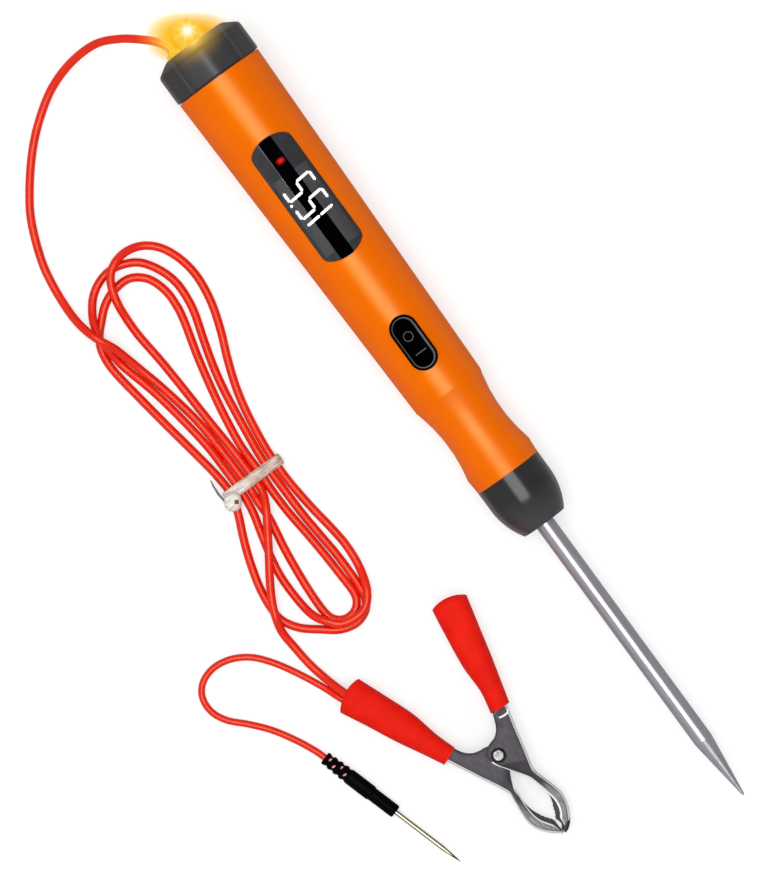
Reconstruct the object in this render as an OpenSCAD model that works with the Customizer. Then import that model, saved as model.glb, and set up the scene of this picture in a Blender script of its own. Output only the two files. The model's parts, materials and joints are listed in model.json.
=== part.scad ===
// Automotive test light. A pen-shaped handle carries a steel probe, a number
// display and a rear lamp. Its ground lead is tied in a hank and ends in a
// spring clip, which also feeds a short lead with a needle probe.
// The tool rests on the lowest edge of its end cap and on the flare behind its
// nose, so its axis dips towards the probe tip. Sizes are in millimetres.

/* [Handle] */
// Length of the end cap, from its end face to the barrel
cap_len = 9.1; // [9:0.1:9.3]
// Radius of the end cap over its ten corners
cap_corner_r = 10.92; // [10.85:0.01:11.1]
// Length of the barrel
barrel_len = 104; // [103.5:0.1:104.5]
// Barrel radius beside the end cap
barrel_rear_r = 10.25; // [10.1:0.01:10.3]
// Barrel radius at the shoulder before the waist
barrel_front_r = 8.4; // [8.35:0.01:8.5]
// Smallest radius of the waist
waist_r = 7; // [6.9:0.05:7.1]
// Radius of the flare behind the nose
flare_r = 8; // [7.95:0.01:8.05]
// Radius of the nose collar
nose_r = 7.76; // [7.6:0.01:7.76]
// Length of the nose collar outside the barrel
nose_len = 13.2; // [13:0.1:13.6]

/* [Probe] */
// Radius of the probe
probe_r = 2.1; // [2:0.05:2.3]
// Length of the straight part of the probe
probe_straight = 57.5; // [50:0.5:60]
// Length of the probe's point
probe_point = 14.6; // [12:0.1:16]

/* [Display and switch] */
// Length of the display window
window_len = 30.3; // [30:0.1:30.6]
// Width of the display window
window_w = 10; // [9.8:0.1:10.2]
// Length of the switch bezel
switch_len = 13.2; // [13:0.1:13.4]
// Width of the switch bezel
switch_w = 6.2; // [6.1:0.1:6.4]
// Swing of the switch rocker from one side to the other, degrees
switch_swing = 10; // [8:0.5:10]

/* [Lead and clip] */
// Diameter of the ground lead
lead_d = 1.85; // [1.7:0.05:1.9]
// Diameter of the short lead
short_d = 1.5; // [1.3:0.05:1.5]
// Thickness of the clip's sheet metal
clip_sheet = 0.6; // [0.5:0.05:0.6]
// Radius of the clip's rivet
rivet_r = 0.95; // [0.9:0.01:1]

/* [Hidden] */

// Roundness of turned pieces, and a reach past a face that a cut goes through
$fn = 64;
past = 1;
seat = 0.05;

// Places along the tool's axis, from the end face of the cap
cap_face = 1.9;
cap_groove = 0.25;
cap_front = cap_len - cap_groove;
cap_end_r = 7.72;
shoulder_x = cap_len + 82.2;
flare_x = cap_len + 100.6;
barrel_end = cap_len + barrel_len;
nose_end = barrel_end + nose_len;
point_x = nose_end + probe_straight;
tip_x = point_x + probe_point;

// Walls of the handle
spigot_len = 5.5;
spigot_r = 8.25;
bore_rear_r = spigot_r + seat;
bore_front_r = 6.4;
bore_front_x = 90;
neck_bore_r = 5;
neck_bore_x = 98;
cap_wall = 2.6;
cap_hollow_r = 6.6;

// Waist: an arc that runs out exactly at the flare
waist_arc = 35;
waist_x = flare_x - sqrt(pow(waist_arc, 2) - pow(waist_arc + waist_r - flare_r, 2));
function barrel_r(x) =
    barrel_rear_r - (barrel_rear_r - barrel_front_r) * (x - cap_len) / (shoulder_x - cap_len);

// Lamp in the middle of the cap, with the lead's exit beside it
lens_r = 2.8;
lens_wall = 0.8;
lens_flange_r = 3.05;
lens_dome_x = -2.8;
led_r = 1.5;
led_dome_x = -1.6;
led_base_x = 4;
exit_y = -4.9;
grommet_tip_x = -1.1;
exit_bore_r = lead_d / 2 + seat / 2;

// Circuit board and what stands on it, in the tool's frame
board_x = 18;
board_len = 72;
board_w = 10;
board_z = 2.7;
board_t = 1.2;
board_top = board_z + board_t;
rail_w = 0.8;

// Display window, set in a pocket whose floor is a ledge in the barrel's wall
window_x = 40.65;

// One arched end of the window: distance from the end, share of the half width
window_end = [
    [-3, 1], [-2, 0.96], [-1.25, 0.82], [-0.55, 0.58], [-0.12, 0.28], [0, 0], [-0.12, -0.28],
    [-0.55, -0.58], [-1.25, -0.82], [-2, -0.96], [-3, -1]
];
window_depth = 1;
window_proud = 0.15;
sight_x = 29.8;
sight_len = 24.2;
sight_w = 8.8;
display_x = 34.3;
display_len = 19.4;
display_w = 8.6;
display_h = 3;
indicator_x = 31.3;

// Switch
switch_x = 78.8;
switch_rim = 0.9;
switch_hole_w = 5.6;
switch_hole_len = 12;
switch_top = 9.05;
switch_floor = 0.7;
rocker_w = 4.2;
rocker_len = 10.7;
rocker_low = -1.6;
rocker_top = 2.55;
rocker_dish = 41;
rocker_dish_depth = 0.35;
rocker_pin_r = 0.45;
rocker_z = 6.8;

// Nose and probe socket
nose_flat = 4.5;
nose_arc = 16;
nose_spigot = 6.1;
shank_r = 1.7;
shank_len = 20.3;
socket_r = 2.6;
socket_len = 17;
socket_cup_r = 0.7;
socket_cup_len = 3;

// Pose on the surface: nose down until the flare touches
rest_tilt = atan((cap_corner_r - flare_r) / (flare_x - cap_front));
rest_height = cap_front * sin(rest_tilt) + cap_corner_r * cos(rest_tilt);
rest_middle = (tip_x + lens_dome_x - lens_r) / 2 * cos(rest_tilt);

// Clip: its own frame has the rivet at the origin, the jaws along +X and the
// moving half at +Y; the fixed half is the mirror image, nested inside
clip_at = [64.2, -37.2, 3.6];
clip_turn = 6.8;
clip_gap = 0.05;
jaw_back = [[7.8, 3.35], [10, 3.75], [13.5, 4.75], [17.3, 4.25], [20.2, 2.1], [21.7, clip_gap]];
jaw_front = [[20.6, clip_gap], [18.2, 1.7], [14.4, 2.6], [10.8, 2.6], [7.4, 2], [4.3, -0.3]];
throat = [[1.5, -1.8], [-0.8, -2.3], [-2.6, -1.2], [-3.2, 0.6], [-3.5, 2.4], [-4.7, 4], [-7, 5.7]];
handle_front = [[-12, 7.3], [-18, 8.3], [-27.5, 10.8]];
handle_back = [-27.5, 16.2];
handle_end = -27.5;
channel = [
    [-29, 16.1], [7.6, 2.78], [10, 3.12], [13.4, 4.12], [16.9, 3.65], [19.4, 1.9], [20.2, 0.7],
    [20.2, -5], [-29, -5]
];
moving_profile = [[-28, 2.6], [-8, 2.6], [-3, 3.1], [5, 3.1], [12, 1.8], [22, 1.5]];
fixed_profile = [[-28, 2.4], [5, 2.4], [12, 1.8], [22, 1.5]];
tooth_pitch = 1.1;
tooth_count = 4;
tooth_at = [15.4, 2.1];
tooth_step = -0.32;
tooth_r = 0.5;
rivet_head_r = 1.35;
rivet_face = 3.12;
rivet_reach = 3.6;
coil_r = 1.75;
coil_wire_r = 0.3;
coil_turns = 4;
coil_start = -45;
coil_rise = 1.3;
coil_step = 36;
coil_leg = [-10, 8.7];

// Sleeves: inner edge, outer edge and half height at stations along a handle
sleeve_stations = [
    [[-32.1, 10.7], [-29.5, 18.3], 3.5], [[-25.6, 8.9], [-23.2, 15.9], 3.55],
    [[-18.6, 7.2], [-16.8, 13.5], 3.5], [[-12.5, 6.5], [-11.3, 11.3], 3.4],
    [[-7.6, 5.35], [-6.6, 9.45], 3.2]
];
sleeve_wall = 0.9;
sleeve_sides = 20;
sleeve_power = 3;
sleeve_stretch = 3.6 / 3.55;

// Needle probe
boot_at = [42.9, -67.5];
boot_turn = 16.4;
boot_r = 1.68;
boot_front_r = 1.48;
boot_len = 19.1;
boot_step_x = 12.6;
rib_pitch = 1.55;
rib_count = 4;
rib_r = [1.45, 1.52, 1.6, 1.66];
rib_w = 0.95;
rib_neck_r = 1.15;
slot_w = 0.55;
slot_h = 0.8;
needle_r = 0.54;
needle_shank_r = 0.3;
needle_shank_x = 12;
needle_straight = 12.7;
needle_point = 4.7;

// Tie round the hank
tie_x = -14.2;
tie_w = 2.2;
tie_y = -44.55;
tie_inner = [13.6, 1.95];
tie_strap = 0.8;
tie_corner = 0.25;
tie_head = [3.7, 4.2, 2.2];
tie_head_corner = 1;
tie_head_at = [-13, -51];
tie_head_turn = 54;
tie_hole = [0.9, 0.9];
tie_hole_at = [0.85, -0.1];
tie_tail = [5.8, 0.5, 2.4];
tie_tail_at = [-19.4, -52.7, 0.5];

// Route of the ground lead from the grommet to the hank
lead_r = lead_d / 2;
start_route = [
    [-97.55, -4.9, 11.2], [-98.9, -5, 11.2], [-100.8, -6, 11.05], [-102.9, -7.9, 10.6],
    [-106.3, -12, 9.2], [-108.7, -17, 7.2], [-108.8, -23.5, 4.5], [-106.9, -30.1, 2.3],
    [-103.2, -36.1, 1.2], [-98.8, -41.2, 0.98], [-92.9, -46.3, 0.95], [-86.9, -50.3, 0.94],
    [-79, -53.5, 0.96], [-73, -54.8, 1.02], [-66.5, -55.3, 2]
];
// Route from the hank into the fixed sleeve of the clip
end_route = [
    [16, -59, 1.75], [20, -58.8, 1.02], [25, -58.3, 1.02], [30, -57.2, 1.8], [34.4, -55.8, 3.8],
    [37.5, -54.5, 4.42], [40.5, -53.2, 4.42]
];
// Route of the short lead from the same sleeve into the boot
short_route = [
    [40.5, -54.2, 2.58], [37.6, -55.7, 2.58], [34.6, -57.3, 2.2], [30.3, -59, 1.2],
    [24.5, -61.8, 0.8], [19.8, -64.6, 0.77], [16.3, -67.6, 0.77], [14.1, -71.3, 0.77],
    [13.4, -75.3, 0.77], [14.5, -78.9, 0.77], [17, -81, 0.77], [20.6, -81.3, 0.77],
    [24.1, -79.7, 0.77], [27.6, -76.4, 0.77], [31.6, -73.1, 0.77], [36.3, -70.3, 0.9],
    [40.5, -68.3, 1.4], [43.5, -67.3, 1.68], [48, -66, 1.68]
];
// Wires inside the handle, in the tool's frame
tail_route = [
    [-1.1, -4.9, 0], [3.2, -4.9, 0], [8, -4.7, 0.7], [13, -4.2, 2.8], [17.5, -3.6, 4.8],
    [22, -3.4, 5]
];
probe_wire_route = [
    [103.5, 0, 0], [101.9, 0, 0], [100.2, 0, 0], [97.5, 0, 0.8], [94.5, 0, 3], [92, 0, 4.4],
    [90, 0, 4.75], [87.5, 0, 4.55]
];
lamp_lead_route = [
    [4, 0.65, 0], [8, 0.9, 0.3], [13, 1.2, 2.6], [17.5, 1.27, 4.1], [20, 1.27, 4.2]
];
lamp_lead_r = 0.3;
probe_wire_r = 0.6;

// Hank: outer outline of both loops, and the clear middle of each loop
hank_h = 3.2;
hank_outline = [
    [-14, -37.8], [-26, -36.6], [-38, -33.1], [-44, -30.6], [-50, -28.7], [-56, -27.9],
    [-61.4, -28.5], [-66.1, -30.5], [-69.2, -33.8], [-70.3, -37.5], [-69.9, -41], [-68.4, -46.8],
    [-66.8, -53.5], [-62, -55.9], [-50.5, -56.1], [-34, -53.7], [-19, -51.3], [-14, -51.3],
    [-6, -54.4], [2, -57.3], [10.5, -59.2], [15, -60], [18.1, -57.5], [21.1, -52.5], [23.3, -49],
    [24.4, -45], [23.7, -41.4], [18.4, -37.9], [9, -36.1], [-2, -37.3]
];
top_opening = [
    [-62.4, -41.8], [-61.2, -38.5], [-57.7, -37.1], [-54, -37], [-42, -39.9], [-28, -42.9],
    [-38, -44.3], [-53, -45.3], [-60, -44.9]
];
low_opening = [
    [-5, -44.8], [2, -47.1], [14, -48.2], [17.8, -47.8], [20, -46.6], [20.5, -45.2], [19.9, -43.8],
    [14, -42.6], [2, -43.3]
];

// Smooth curve through the points of a list, n steps from each to the next
function lead_in(p, i) = i < 0 ? 2 * p[0] - p[1] : i > len(p) - 1 ? 2 * p[i - 1] - p[i - 2] : p[i];
function blend4(a, b, c, d, t) =
    (2 * b + (c - a) * t + (2 * a - 5 * b + 4 * c - d) * t * t + (3 * b - a - 3 * c + d) * t * t * t) / 2;
function curve(p, n) = concat(
    [for (i = [0:len(p) - 2], k = [0:n - 1])
        blend4(lead_in(p, i - 1), p[i], p[i + 1], lead_in(p, i + 2), k / n)],
    [p[len(p) - 1]]
);
function ring_curve(p, n) = [
    for (i = [0:len(p) - 1], k = [0:n - 1])
        blend4(p[(i + len(p) - 1) % len(p)], p[i], p[(i + 1) % len(p)], p[(i + 2) % len(p)], k / n)
];

// Rings of a tube along a path, and the solid between any list of rings
function unit(v) = v / norm(v);
function heading(p, i) = unit(p[min(i + 1, len(p) - 1)] - p[max(i - 1, 0)]);
function tube_ring(p, i, r, sides) =
    let (d = heading(p, i), s = unit(cross(d, [0, 0, 1])), u = cross(s, d))
    [for (k = [0:sides - 1]) p[i] + r * (cos(360 * k / sides) * s + sin(360 * k / sides) * u)];
function tube_rings(p, r, sides) = [for (i = [0:len(p) - 1]) tube_ring(p, i, r, sides)];

module loft(rings) {
    n = len(rings[0]);
    last = len(rings) - 1;
    polyhedron(
        points = [for (ring = rings, point = ring) point],
        faces = concat(
            [[for (k = [n - 1:-1:0]) k]],
            [[for (k = [0:n - 1]) last * n + k]],
            [for (i = [0:last - 1], k = [0:n - 1])
                [i * n + k, i * n + (k + 1) % n, (i + 1) * n + (k + 1) % n]],
            [for (i = [0:last - 1], k = [0:n - 1])
                [i * n + k, (i + 1) * n + (k + 1) % n, (i + 1) * n + k]]
        )
    );
}

module tube(path, r, sides = 8) {
    loft(tube_rings(path, r, sides));
}

// The tool lies in its pose on the surface, centred on the origin
module lay() {
    translate([-rest_middle, 0, rest_height]) rotate([0, rest_tilt, 0]) children();
}

module along_x(x = 0, y = 0, z = 0) {
    translate([x, y, z]) rotate([0, 90, 0]) children();
}

// Turned piece from an outline of [radius, place along the axis] points
module turned(outline) {
    along_x() rotate_extrude() polygon(outline);
}

module obround(length, width) {
    square([length - width, width], center = true);
    for (side = [-1, 1]) translate([side * (length - width) / 2, 0]) circle(d = width);
}

module rounded_plate(length, width, corner) {
    square([length - 2 * corner, width], center = true);
    square([length, width - 2 * corner], center = true);
    for (sx = [-1, 1], sy = [-1, 1])
        translate([sx * (length / 2 - corner), sy * (width / 2 - corner)]) circle(r = corner);
}

// Half section of a round-nosed plug: its dome is centred at dome_x
module dome_section(r, dome_x, base_x) {
    intersection() {
        union() {
            translate([0, dome_x]) circle(r = r);
            translate([0, dome_x]) square([r, base_x - dome_x]);
        }
        translate([0, dome_x - r]) square([r, base_x - dome_x + r]);
    }
}

// Handle

module barrel_section() {
    difference() {
        polygon([
            [0, cap_len], [barrel_rear_r, cap_len], [barrel_front_r, shoulder_x],
            [flare_r, flare_x], [nose_r, barrel_end], [0, barrel_end]
        ]);
        translate([waist_r + waist_arc, waist_x]) circle(r = waist_arc, $fn = 256);
    }
}

// Taper of the barrel's surface, moved in or out by offset_r
module barrel_taper(offset_r) {
    turned([
        [0, cap_len], [barrel_rear_r + offset_r, cap_len],
        [barrel_front_r + offset_r, shoulder_x], [0, shoulder_x]
    ]);
}

module barrel_bore() {
    turned([
        [0, cap_len - past], [bore_rear_r, cap_len - past], [bore_rear_r, cap_len + spigot_len],
        [bore_front_r, bore_front_x], [neck_bore_r, neck_bore_x],
        [neck_bore_r, barrel_end + past], [0, barrel_end + past]
    ]);
}

// Ledges on both sides of the bore, under the edges of the circuit board
module board_rails() {
    for (side = [-1, 1])
        translate([board_x, side * (board_w / 2 - rail_w + spigot_r) - spigot_r, board_z - 1])
            cube([board_len, 2 * spigot_r, 1]);
}

module window_pocket(grow) {
    end = [
        for (p = curve(window_end, 2))
            [window_len / 2 + grow + p[0], (window_w / 2 + grow) * p[1]]
    ];
    translate([window_x, 0, board_top])
        linear_extrude(2 * barrel_rear_r) polygon(concat(end, -end));
}

module barrel() {
    color([1, 0.47, 0]) lay() difference() {
        along_x() rotate_extrude() barrel_section();
        difference() {
            barrel_bore();
            board_rails();
        }
        difference() {
            window_pocket(seat);
            barrel_taper(-window_depth);
        }
        translate([sight_x, -sight_w / 2, board_top])
            cube([sight_len, sight_w, 2 * barrel_rear_r]);
        translate([switch_x, 0, board_top])
            linear_extrude(2 * barrel_rear_r) obround(switch_hole_len, switch_hole_w);
    }
}

module end_cap() {
    color([0.22, 0.22, 0.23]) lay() difference() {
        union() {
            along_x() cylinder(h = cap_face, r1 = cap_end_r, r2 = cap_corner_r, $fn = 10);
            along_x(cap_face) cylinder(h = cap_front - cap_face, r = cap_corner_r, $fn = 10);
            along_x(cap_front) cylinder(h = cap_groove, r = barrel_rear_r - cap_groove);
            along_x(cap_len) cylinder(h = spigot_len - seat, r = spigot_r);
        }
        along_x(cap_wall) cylinder(h = cap_len + spigot_len, r = cap_hollow_r);
        along_x(-past) cylinder(h = cap_wall + 2 * past, r = lens_r + seat);
        along_x(-past, exit_y) cylinder(h = cap_wall + 2 * past, r = 1.5 + seat / 2);
    }
}

module lamp_lens() {
    color([1, 0.75, 0.1]) lay() along_x() {
        rotate_extrude() difference() {
            dome_section(lens_r, lens_dome_x, led_base_x);
            dome_section(lens_r - lens_wall, lens_dome_x + lens_wall / 2, led_base_x + past);
        }
        translate([0, 0, cap_wall]) difference() {
            cylinder(h = led_base_x - cap_wall, r = lens_flange_r);
            translate([0, 0, -past]) cylinder(h = led_base_x, r = lens_r - lens_wall / 2);
        }
    }
}

module lamp_led() {
    color([1, 0.95, 0.75]) lay() along_x() {
        rotate_extrude() dome_section(led_r, led_dome_x, led_base_x);
        translate([0, 0, led_base_x - 1]) cylinder(h = 1, r = lens_r - lens_wall);
    }
}

module lamp_leads() {
    color([0.75, 0.75, 0.75]) lay()
        for (side = [-1, 1])
            tube([for (p = curve(lamp_lead_route, 2)) [p[0], side * p[1], p[2]]], lamp_lead_r);
}

module lead_grommet() {
    color([0.12, 0.12, 0.12]) lay() translate([0, exit_y, 0]) turned([
        [exit_bore_r, grommet_tip_x], [1.3, grommet_tip_x], [1.75, -0.6], [1.75, 0], [1.5, 0],
        [1.5, cap_wall], [1.65, cap_wall], [1.5, cap_wall + 0.6], [exit_bore_r, cap_wall + 0.6]
    ]);
}

module lead_tail() {
    color([0.94, 0.12, 0.08]) lay() tube(curve(tail_route, 2), lead_r);
}

// Display

module display_window() {
    color([0.1, 0.1, 0.11]) lay() difference() {
        intersection() {
            window_pocket(0);
            barrel_taper(window_proud);
        }
        barrel_taper(seat - window_depth);
    }
}

module display_module() {
    color([0.03, 0.03, 0.03]) lay() translate([display_x, -display_w / 2, board_top])
        cube([display_len, display_w, display_h]);
}

module indicator_led() {
    color([0.9, 0.1, 0.1]) lay() translate([indicator_x, 0, board_top])
        linear_extrude(display_h) square([1.2, 1.9], center = true);
}

module circuit_board() {
    color([0.1, 0.35, 0.2]) lay() translate([board_x, -board_w / 2, board_z])
        cube([board_len, board_w, board_t]);
}

module controller_chip() {
    color([0.1, 0.1, 0.1]) lay() translate([62, 0, board_top]) {
        translate([-2.5, -2.5, 0.15]) cube([5, 5, 1]);
        for (pin = [-3:3], side = [-1, 1]) {
            translate([pin * 0.65 - 0.15, side * 2.9 - 0.4, 0]) cube([0.3, 0.8, 0.3]);
        }
    }
}

module board_parts() {
    color([0.2, 0.2, 0.22]) lay() {
        along_x(23, 3, board_top + 1.6) cylinder(h = 6, r = 1.6);
        translate([68.5, -1.6, board_top]) cube([2.6, 3.2, 1.1]);
        for (part = [0:3]) {
            translate([56.2, -3.2 + 1.8 * part, board_top]) cube([1.6, 0.8, 0.5]);
        }
    }
}

// Switch

module switch_bezel() {
    cavity_len = switch_len - 2 * switch_rim - 0.2;
    cavity_w = switch_w - 2 * switch_rim;
    color([0.05, 0.05, 0.05]) lay() difference() {
        translate([switch_x, 0, 0]) union() {
            translate([0, 0, board_top])
                linear_extrude(switch_top - board_top)
                    obround(switch_hole_len - 2 * seat, switch_hole_w - 2 * seat);
            difference() {
                translate([0, 0, rocker_z]) linear_extrude(switch_top - rocker_z)
                    obround(switch_len, switch_w);
                translate([-switch_x, 0, 0]) barrel_taper(0);
            }
        }
        translate([switch_x, 0, board_top + switch_floor])
            linear_extrude(switch_top) obround(cavity_len, cavity_w);
        translate([switch_x, 0, rocker_z]) rotate([90, 0, 0])
            cylinder(h = switch_w + past, r = rocker_pin_r + seat, center = true);
    }
}

module switch_rocker() {
    color([0.08, 0.08, 0.09]) lay()
        translate([switch_x, 0, rocker_z]) rotate([0, switch_swing / 2, 0]) {
            difference() {
                translate([0, 0, rocker_low])
                    linear_extrude(rocker_top - rocker_low) obround(rocker_len, rocker_w);
                translate([0, 0, rocker_top - rocker_dish_depth + rocker_dish]) rotate([90, 0, 0])
                    cylinder(h = switch_w, r = rocker_dish, center = true, $fn = 256);
            }
            rotate([90, 0, 0])
                cylinder(h = switch_hole_w - 4 * seat, r = rocker_pin_r, center = true);
        }
}

// Nose and probe

module nose_collar() {
    color([0.2, 0.2, 0.21]) lay() along_x() rotate_extrude() difference() {
        union() {
            translate([0, barrel_end]) square([nose_r, nose_flat]);
            intersection() {
                translate([nose_r - nose_arc, barrel_end + nose_flat])
                    circle(r = nose_arc, $fn = 256);
                translate([0, barrel_end]) square([nose_r, nose_len]);
            }
            translate([0, barrel_end - nose_spigot]) square([neck_bore_r - seat, nose_spigot]);
        }
        translate([0, barrel_end - nose_spigot - past])
            square([socket_r + seat, nose_spigot + past + nose_flat]);
        translate([0, barrel_end]) square([shank_r + 0.02, nose_len + past]);
    }
}

module probe_socket() {
    socket_x = barrel_end + nose_flat - socket_len;
    color([0.8, 0.65, 0.25]) lay() turned([
        [socket_cup_r, socket_x], [socket_r, socket_x], [socket_r, socket_x + socket_len],
        [shank_r + 0.02, socket_x + socket_len], [shank_r + 0.02, nose_end - shank_len],
        [0, nose_end - shank_len], [0, socket_x + socket_cup_len],
        [socket_cup_r, socket_x + socket_cup_len]
    ]);
}

module probe_wire() {
    color([0.85, 0.1, 0.1]) lay() tube(curve(probe_wire_route, 2), probe_wire_r);
}

module probe() {
    color([0.62, 0.62, 0.64]) lay() turned([
        [0, nose_end - shank_len], [shank_r, nose_end - shank_len], [shank_r, nose_end],
        [probe_r, nose_end], [probe_r, point_x], [0.3, tip_x - 0.3], [0, tip_x]
    ]);
}

// Ground lead

module lead_start() {
    color([0.94, 0.12, 0.08]) tube(curve(start_route, 2), lead_r);
}

module lead_end() {
    color([0.94, 0.12, 0.08]) tube(curve(end_route, 2), lead_r);
}

module short_lead() {
    color([0.94, 0.12, 0.08]) tube(short_route, short_d / 2);
}

module lead_hank() {
    color([0.94, 0.12, 0.08]) difference() {
        linear_extrude(hank_h) difference() {
            polygon(ring_curve(hank_outline, 2));
            polygon(ring_curve(top_opening, 2));
            polygon(ring_curve(low_opening, 2));
        }
        translate([tie_x, tie_y, tie_strap + tie_inner[1] / 2]) difference() {
            cube([tie_w + 4 * seat, 2 * tie_inner[0], 2 * hank_h], center = true);
            cube([2 * tie_w, tie_inner[0] - 6 * seat, tie_inner[1] - 2 * seat], center = true);
        }
        at_tie_head(-2 * seat) linear_extrude(tie_head[2])
            rounded_plate(tie_head[0] + 4 * seat, tie_head[1] + 4 * seat, tie_head_corner);
    }
}

module at_tie_head(rise) {
    translate([tie_head_at[0], tie_head_at[1], tie_strap + tie_inner[1] + rise])
        rotate([0, 0, tie_head_turn]) children();
}

module hank_tie() {
    color([0.9, 0.9, 0.86]) difference() {
        union() {
            translate([tie_x - tie_w / 2, tie_y, tie_strap + tie_inner[1] / 2])
                rotate([90, 0, 90]) linear_extrude(tie_w) difference() {
                    rounded_plate(tie_inner[0] + 2 * tie_strap, tie_inner[1] + 2 * tie_strap, 1.4);
                    rounded_plate(tie_inner[0], tie_inner[1], tie_corner);
                }
            at_tie_head(0) linear_extrude(tie_head[2])
                rounded_plate(tie_head[0], tie_head[1], tie_head_corner);
            translate(tie_tail_at) cube(tie_tail);
        }
        at_tie_head(tie_head[2] / 2) translate([tie_hole_at[0], tie_hole_at[1], 0])
            cube([tie_hole[0], tie_hole[1], tie_head[2] + past], center = true);
    }
}

// Clip

module in_clip() {
    translate(clip_at) rotate([0, 0, clip_turn]) children();
}

module jaw_plan(tooth_shift) {
    difference() {
        polygon(concat(
            [handle_back], curve(jaw_back, 4), curve(jaw_front, 4), curve(throat, 3), handle_front
        ));
        for (tooth = [0:tooth_count - 1]) {
            translate(tooth_at + (tooth + tooth_shift) * [tooth_pitch, tooth_step])
                circle(r = tooth_r, $fn = 4);
        }
    }
}

// Solid between the cheeks' faces, whose half heights follow the profile
module cheek_block(profile, inset) {
    rotate([90, 0, 0]) linear_extrude(80, center = true) polygon(concat(
        [for (p = profile) [p[0], p[1] - inset]],
        [for (i = [len(profile) - 1:-1:0]) [profile[i][0], inset - profile[i][1]]]
    ));
}

module jaw_half(profile, tooth_shift, bore_r) {
    difference() {
        intersection() {
            linear_extrude(10, center = true) jaw_plan(tooth_shift);
            cheek_block(profile, 0);
        }
        intersection() {
            linear_extrude(10, center = true) polygon(channel);
            cheek_block(concat([profile[0] - [2, 0]], profile), clip_sheet);
        }
        cylinder(h = 10, r = bore_r, center = true);
    }
}

module clip_moving_jaw() {
    color([0.4, 0.4, 0.41]) in_clip() jaw_half(moving_profile, 0, rivet_r + seat);
}

module clip_fixed_jaw() {
    color([0.38, 0.38, 0.39]) in_clip() mirror([0, 1, 0])
        jaw_half(fixed_profile, 0.5, rivet_r + 0.02);
}

module clip_pivot() {
    color([0.8, 0.8, 0.8]) in_clip() rotate_extrude() polygon([
        [0, -rivet_reach], [rivet_head_r - 0.4, -rivet_reach], [rivet_head_r, 0.25 - rivet_reach],
        [rivet_head_r, -rivet_face], [rivet_r, -rivet_face], [rivet_r, rivet_face],
        [rivet_head_r, rivet_face], [rivet_head_r, rivet_reach - 0.25],
        [rivet_head_r - 0.4, rivet_reach], [0, rivet_reach]
    ]);
}

module clip_spring() {
    sweep = coil_turns * 360 - 2 * coil_start;
    coil = [
        for (a = [0:coil_step:sweep])
            [coil_r * cos(a + coil_start), coil_r * sin(a + coil_start), coil_rise * (2 * a / sweep - 1)]
    ];
    color([0.7, 0.7, 0.7]) in_clip() tube(
        concat(
            [[coil_leg[0], -coil_leg[1], -coil_rise]], coil, [[coil_leg[0], coil_leg[1], coil_rise]]
        ),
        coil_wire_r, 6
    );
}

// Rounded section across a handle at one station, thinner by wall all round
function sleeve_ring(station, wall) =
    let (middle = (station[0] + station[1]) / 2, across = station[1] - station[0])
    let (half = across / 2 * (1 - 2 * wall / norm(across)), up = station[2] - wall)
    [for (k = [0:sleeve_sides - 1])
        let (a = -360 * k / sleeve_sides, c = cos(a), s = sin(a))
        let (e = 2 / sleeve_power, x = sign(c) * pow(abs(c), e), z = sign(s) * pow(abs(s), e))
        [middle[0] + x * half[0], middle[1] + x * half[1], z * up]];

function station_curve(n) = [
    for (i = [0:len(sleeve_stations) - 2], k = [0:n - 1]) station_mix(i, k / n)
];
function station_mix(i, t) = [
    for (j = [0:2])
        blend4(
            lead_in(sleeve_stations, i - 1)[j], sleeve_stations[i][j],
            sleeve_stations[i + 1][j], lead_in(sleeve_stations, i + 2)[j], t
        )
];

module sleeve(profile) {
    stations = concat(station_curve(3), [sleeve_stations[len(sleeve_stations) - 1]]);
    difference() {
        loft([for (s = stations) sleeve_ring(s, 0)]);
        intersection() {
            translate([-2 * past, past / 2, 0]) loft([for (s = stations) sleeve_ring(s, sleeve_wall)]);
            translate([handle_end - 20, -20, -10]) cube([20 + seat, 60, 20]);
        }
        intersection() {
            linear_extrude(10, center = true) jaw_plan(0);
            cheek_block(profile, 0);
        }
    }
}

module clip_sleeve_moving() {
    color([0.9, 0.13, 0.1]) in_clip() sleeve(moving_profile);
}

module clip_sleeve_fixed() {
    color([0.9, 0.13, 0.1]) in_clip() mirror([0, 1, 0]) scale([1, 1, sleeve_stretch])
        sleeve(fixed_profile);
}

// Needle probe

module in_boot() {
    translate([boot_at[0], boot_at[1], boot_r]) rotate([0, 0, boot_turn]) children();
}

module needle_boot() {
    rib_end = rib_count * rib_pitch;
    color([0.05, 0.05, 0.05]) in_boot() difference() {
        union() {
            along_x() cylinder(h = rib_end, r = rib_neck_r);
            for (rib = [0:rib_count - 1])
                along_x(rib * rib_pitch) cylinder(h = rib_w, r = rib_r[rib]);
            turned([
                [0, rib_end], [boot_r - 0.1, rib_end], [boot_r, rib_end + 1],
                [boot_r, boot_step_x - 0.3], [boot_front_r, boot_step_x],
                [boot_front_r, boot_len - 0.2], [boot_front_r - 0.2, boot_len], [0, boot_len]
            ]);
        }
        along_x(-past) cylinder(h = rib_end + past, r = short_d / 2 + seat);
        along_x(rib_end - past) cylinder(h = boot_len, r = needle_shank_r + 0.02);
        for (rib = [0:rib_count - 1])
            translate([rib * rib_pitch + 1.25, rib % 2 == 0 ? 0.55 : -0.55, 0])
                cube([slot_w, slot_h, 4 * boot_r], center = true);
    }
}

module needle() {
    point = boot_len + needle_straight;
    color([0.85, 0.78, 0.55]) in_boot() turned([
        [0, needle_shank_x], [needle_shank_r, needle_shank_x], [needle_shank_r, boot_len],
        [needle_r, boot_len], [needle_r, point], [0.06, point + needle_point], [0, point + needle_point]
    ]);
}

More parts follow.
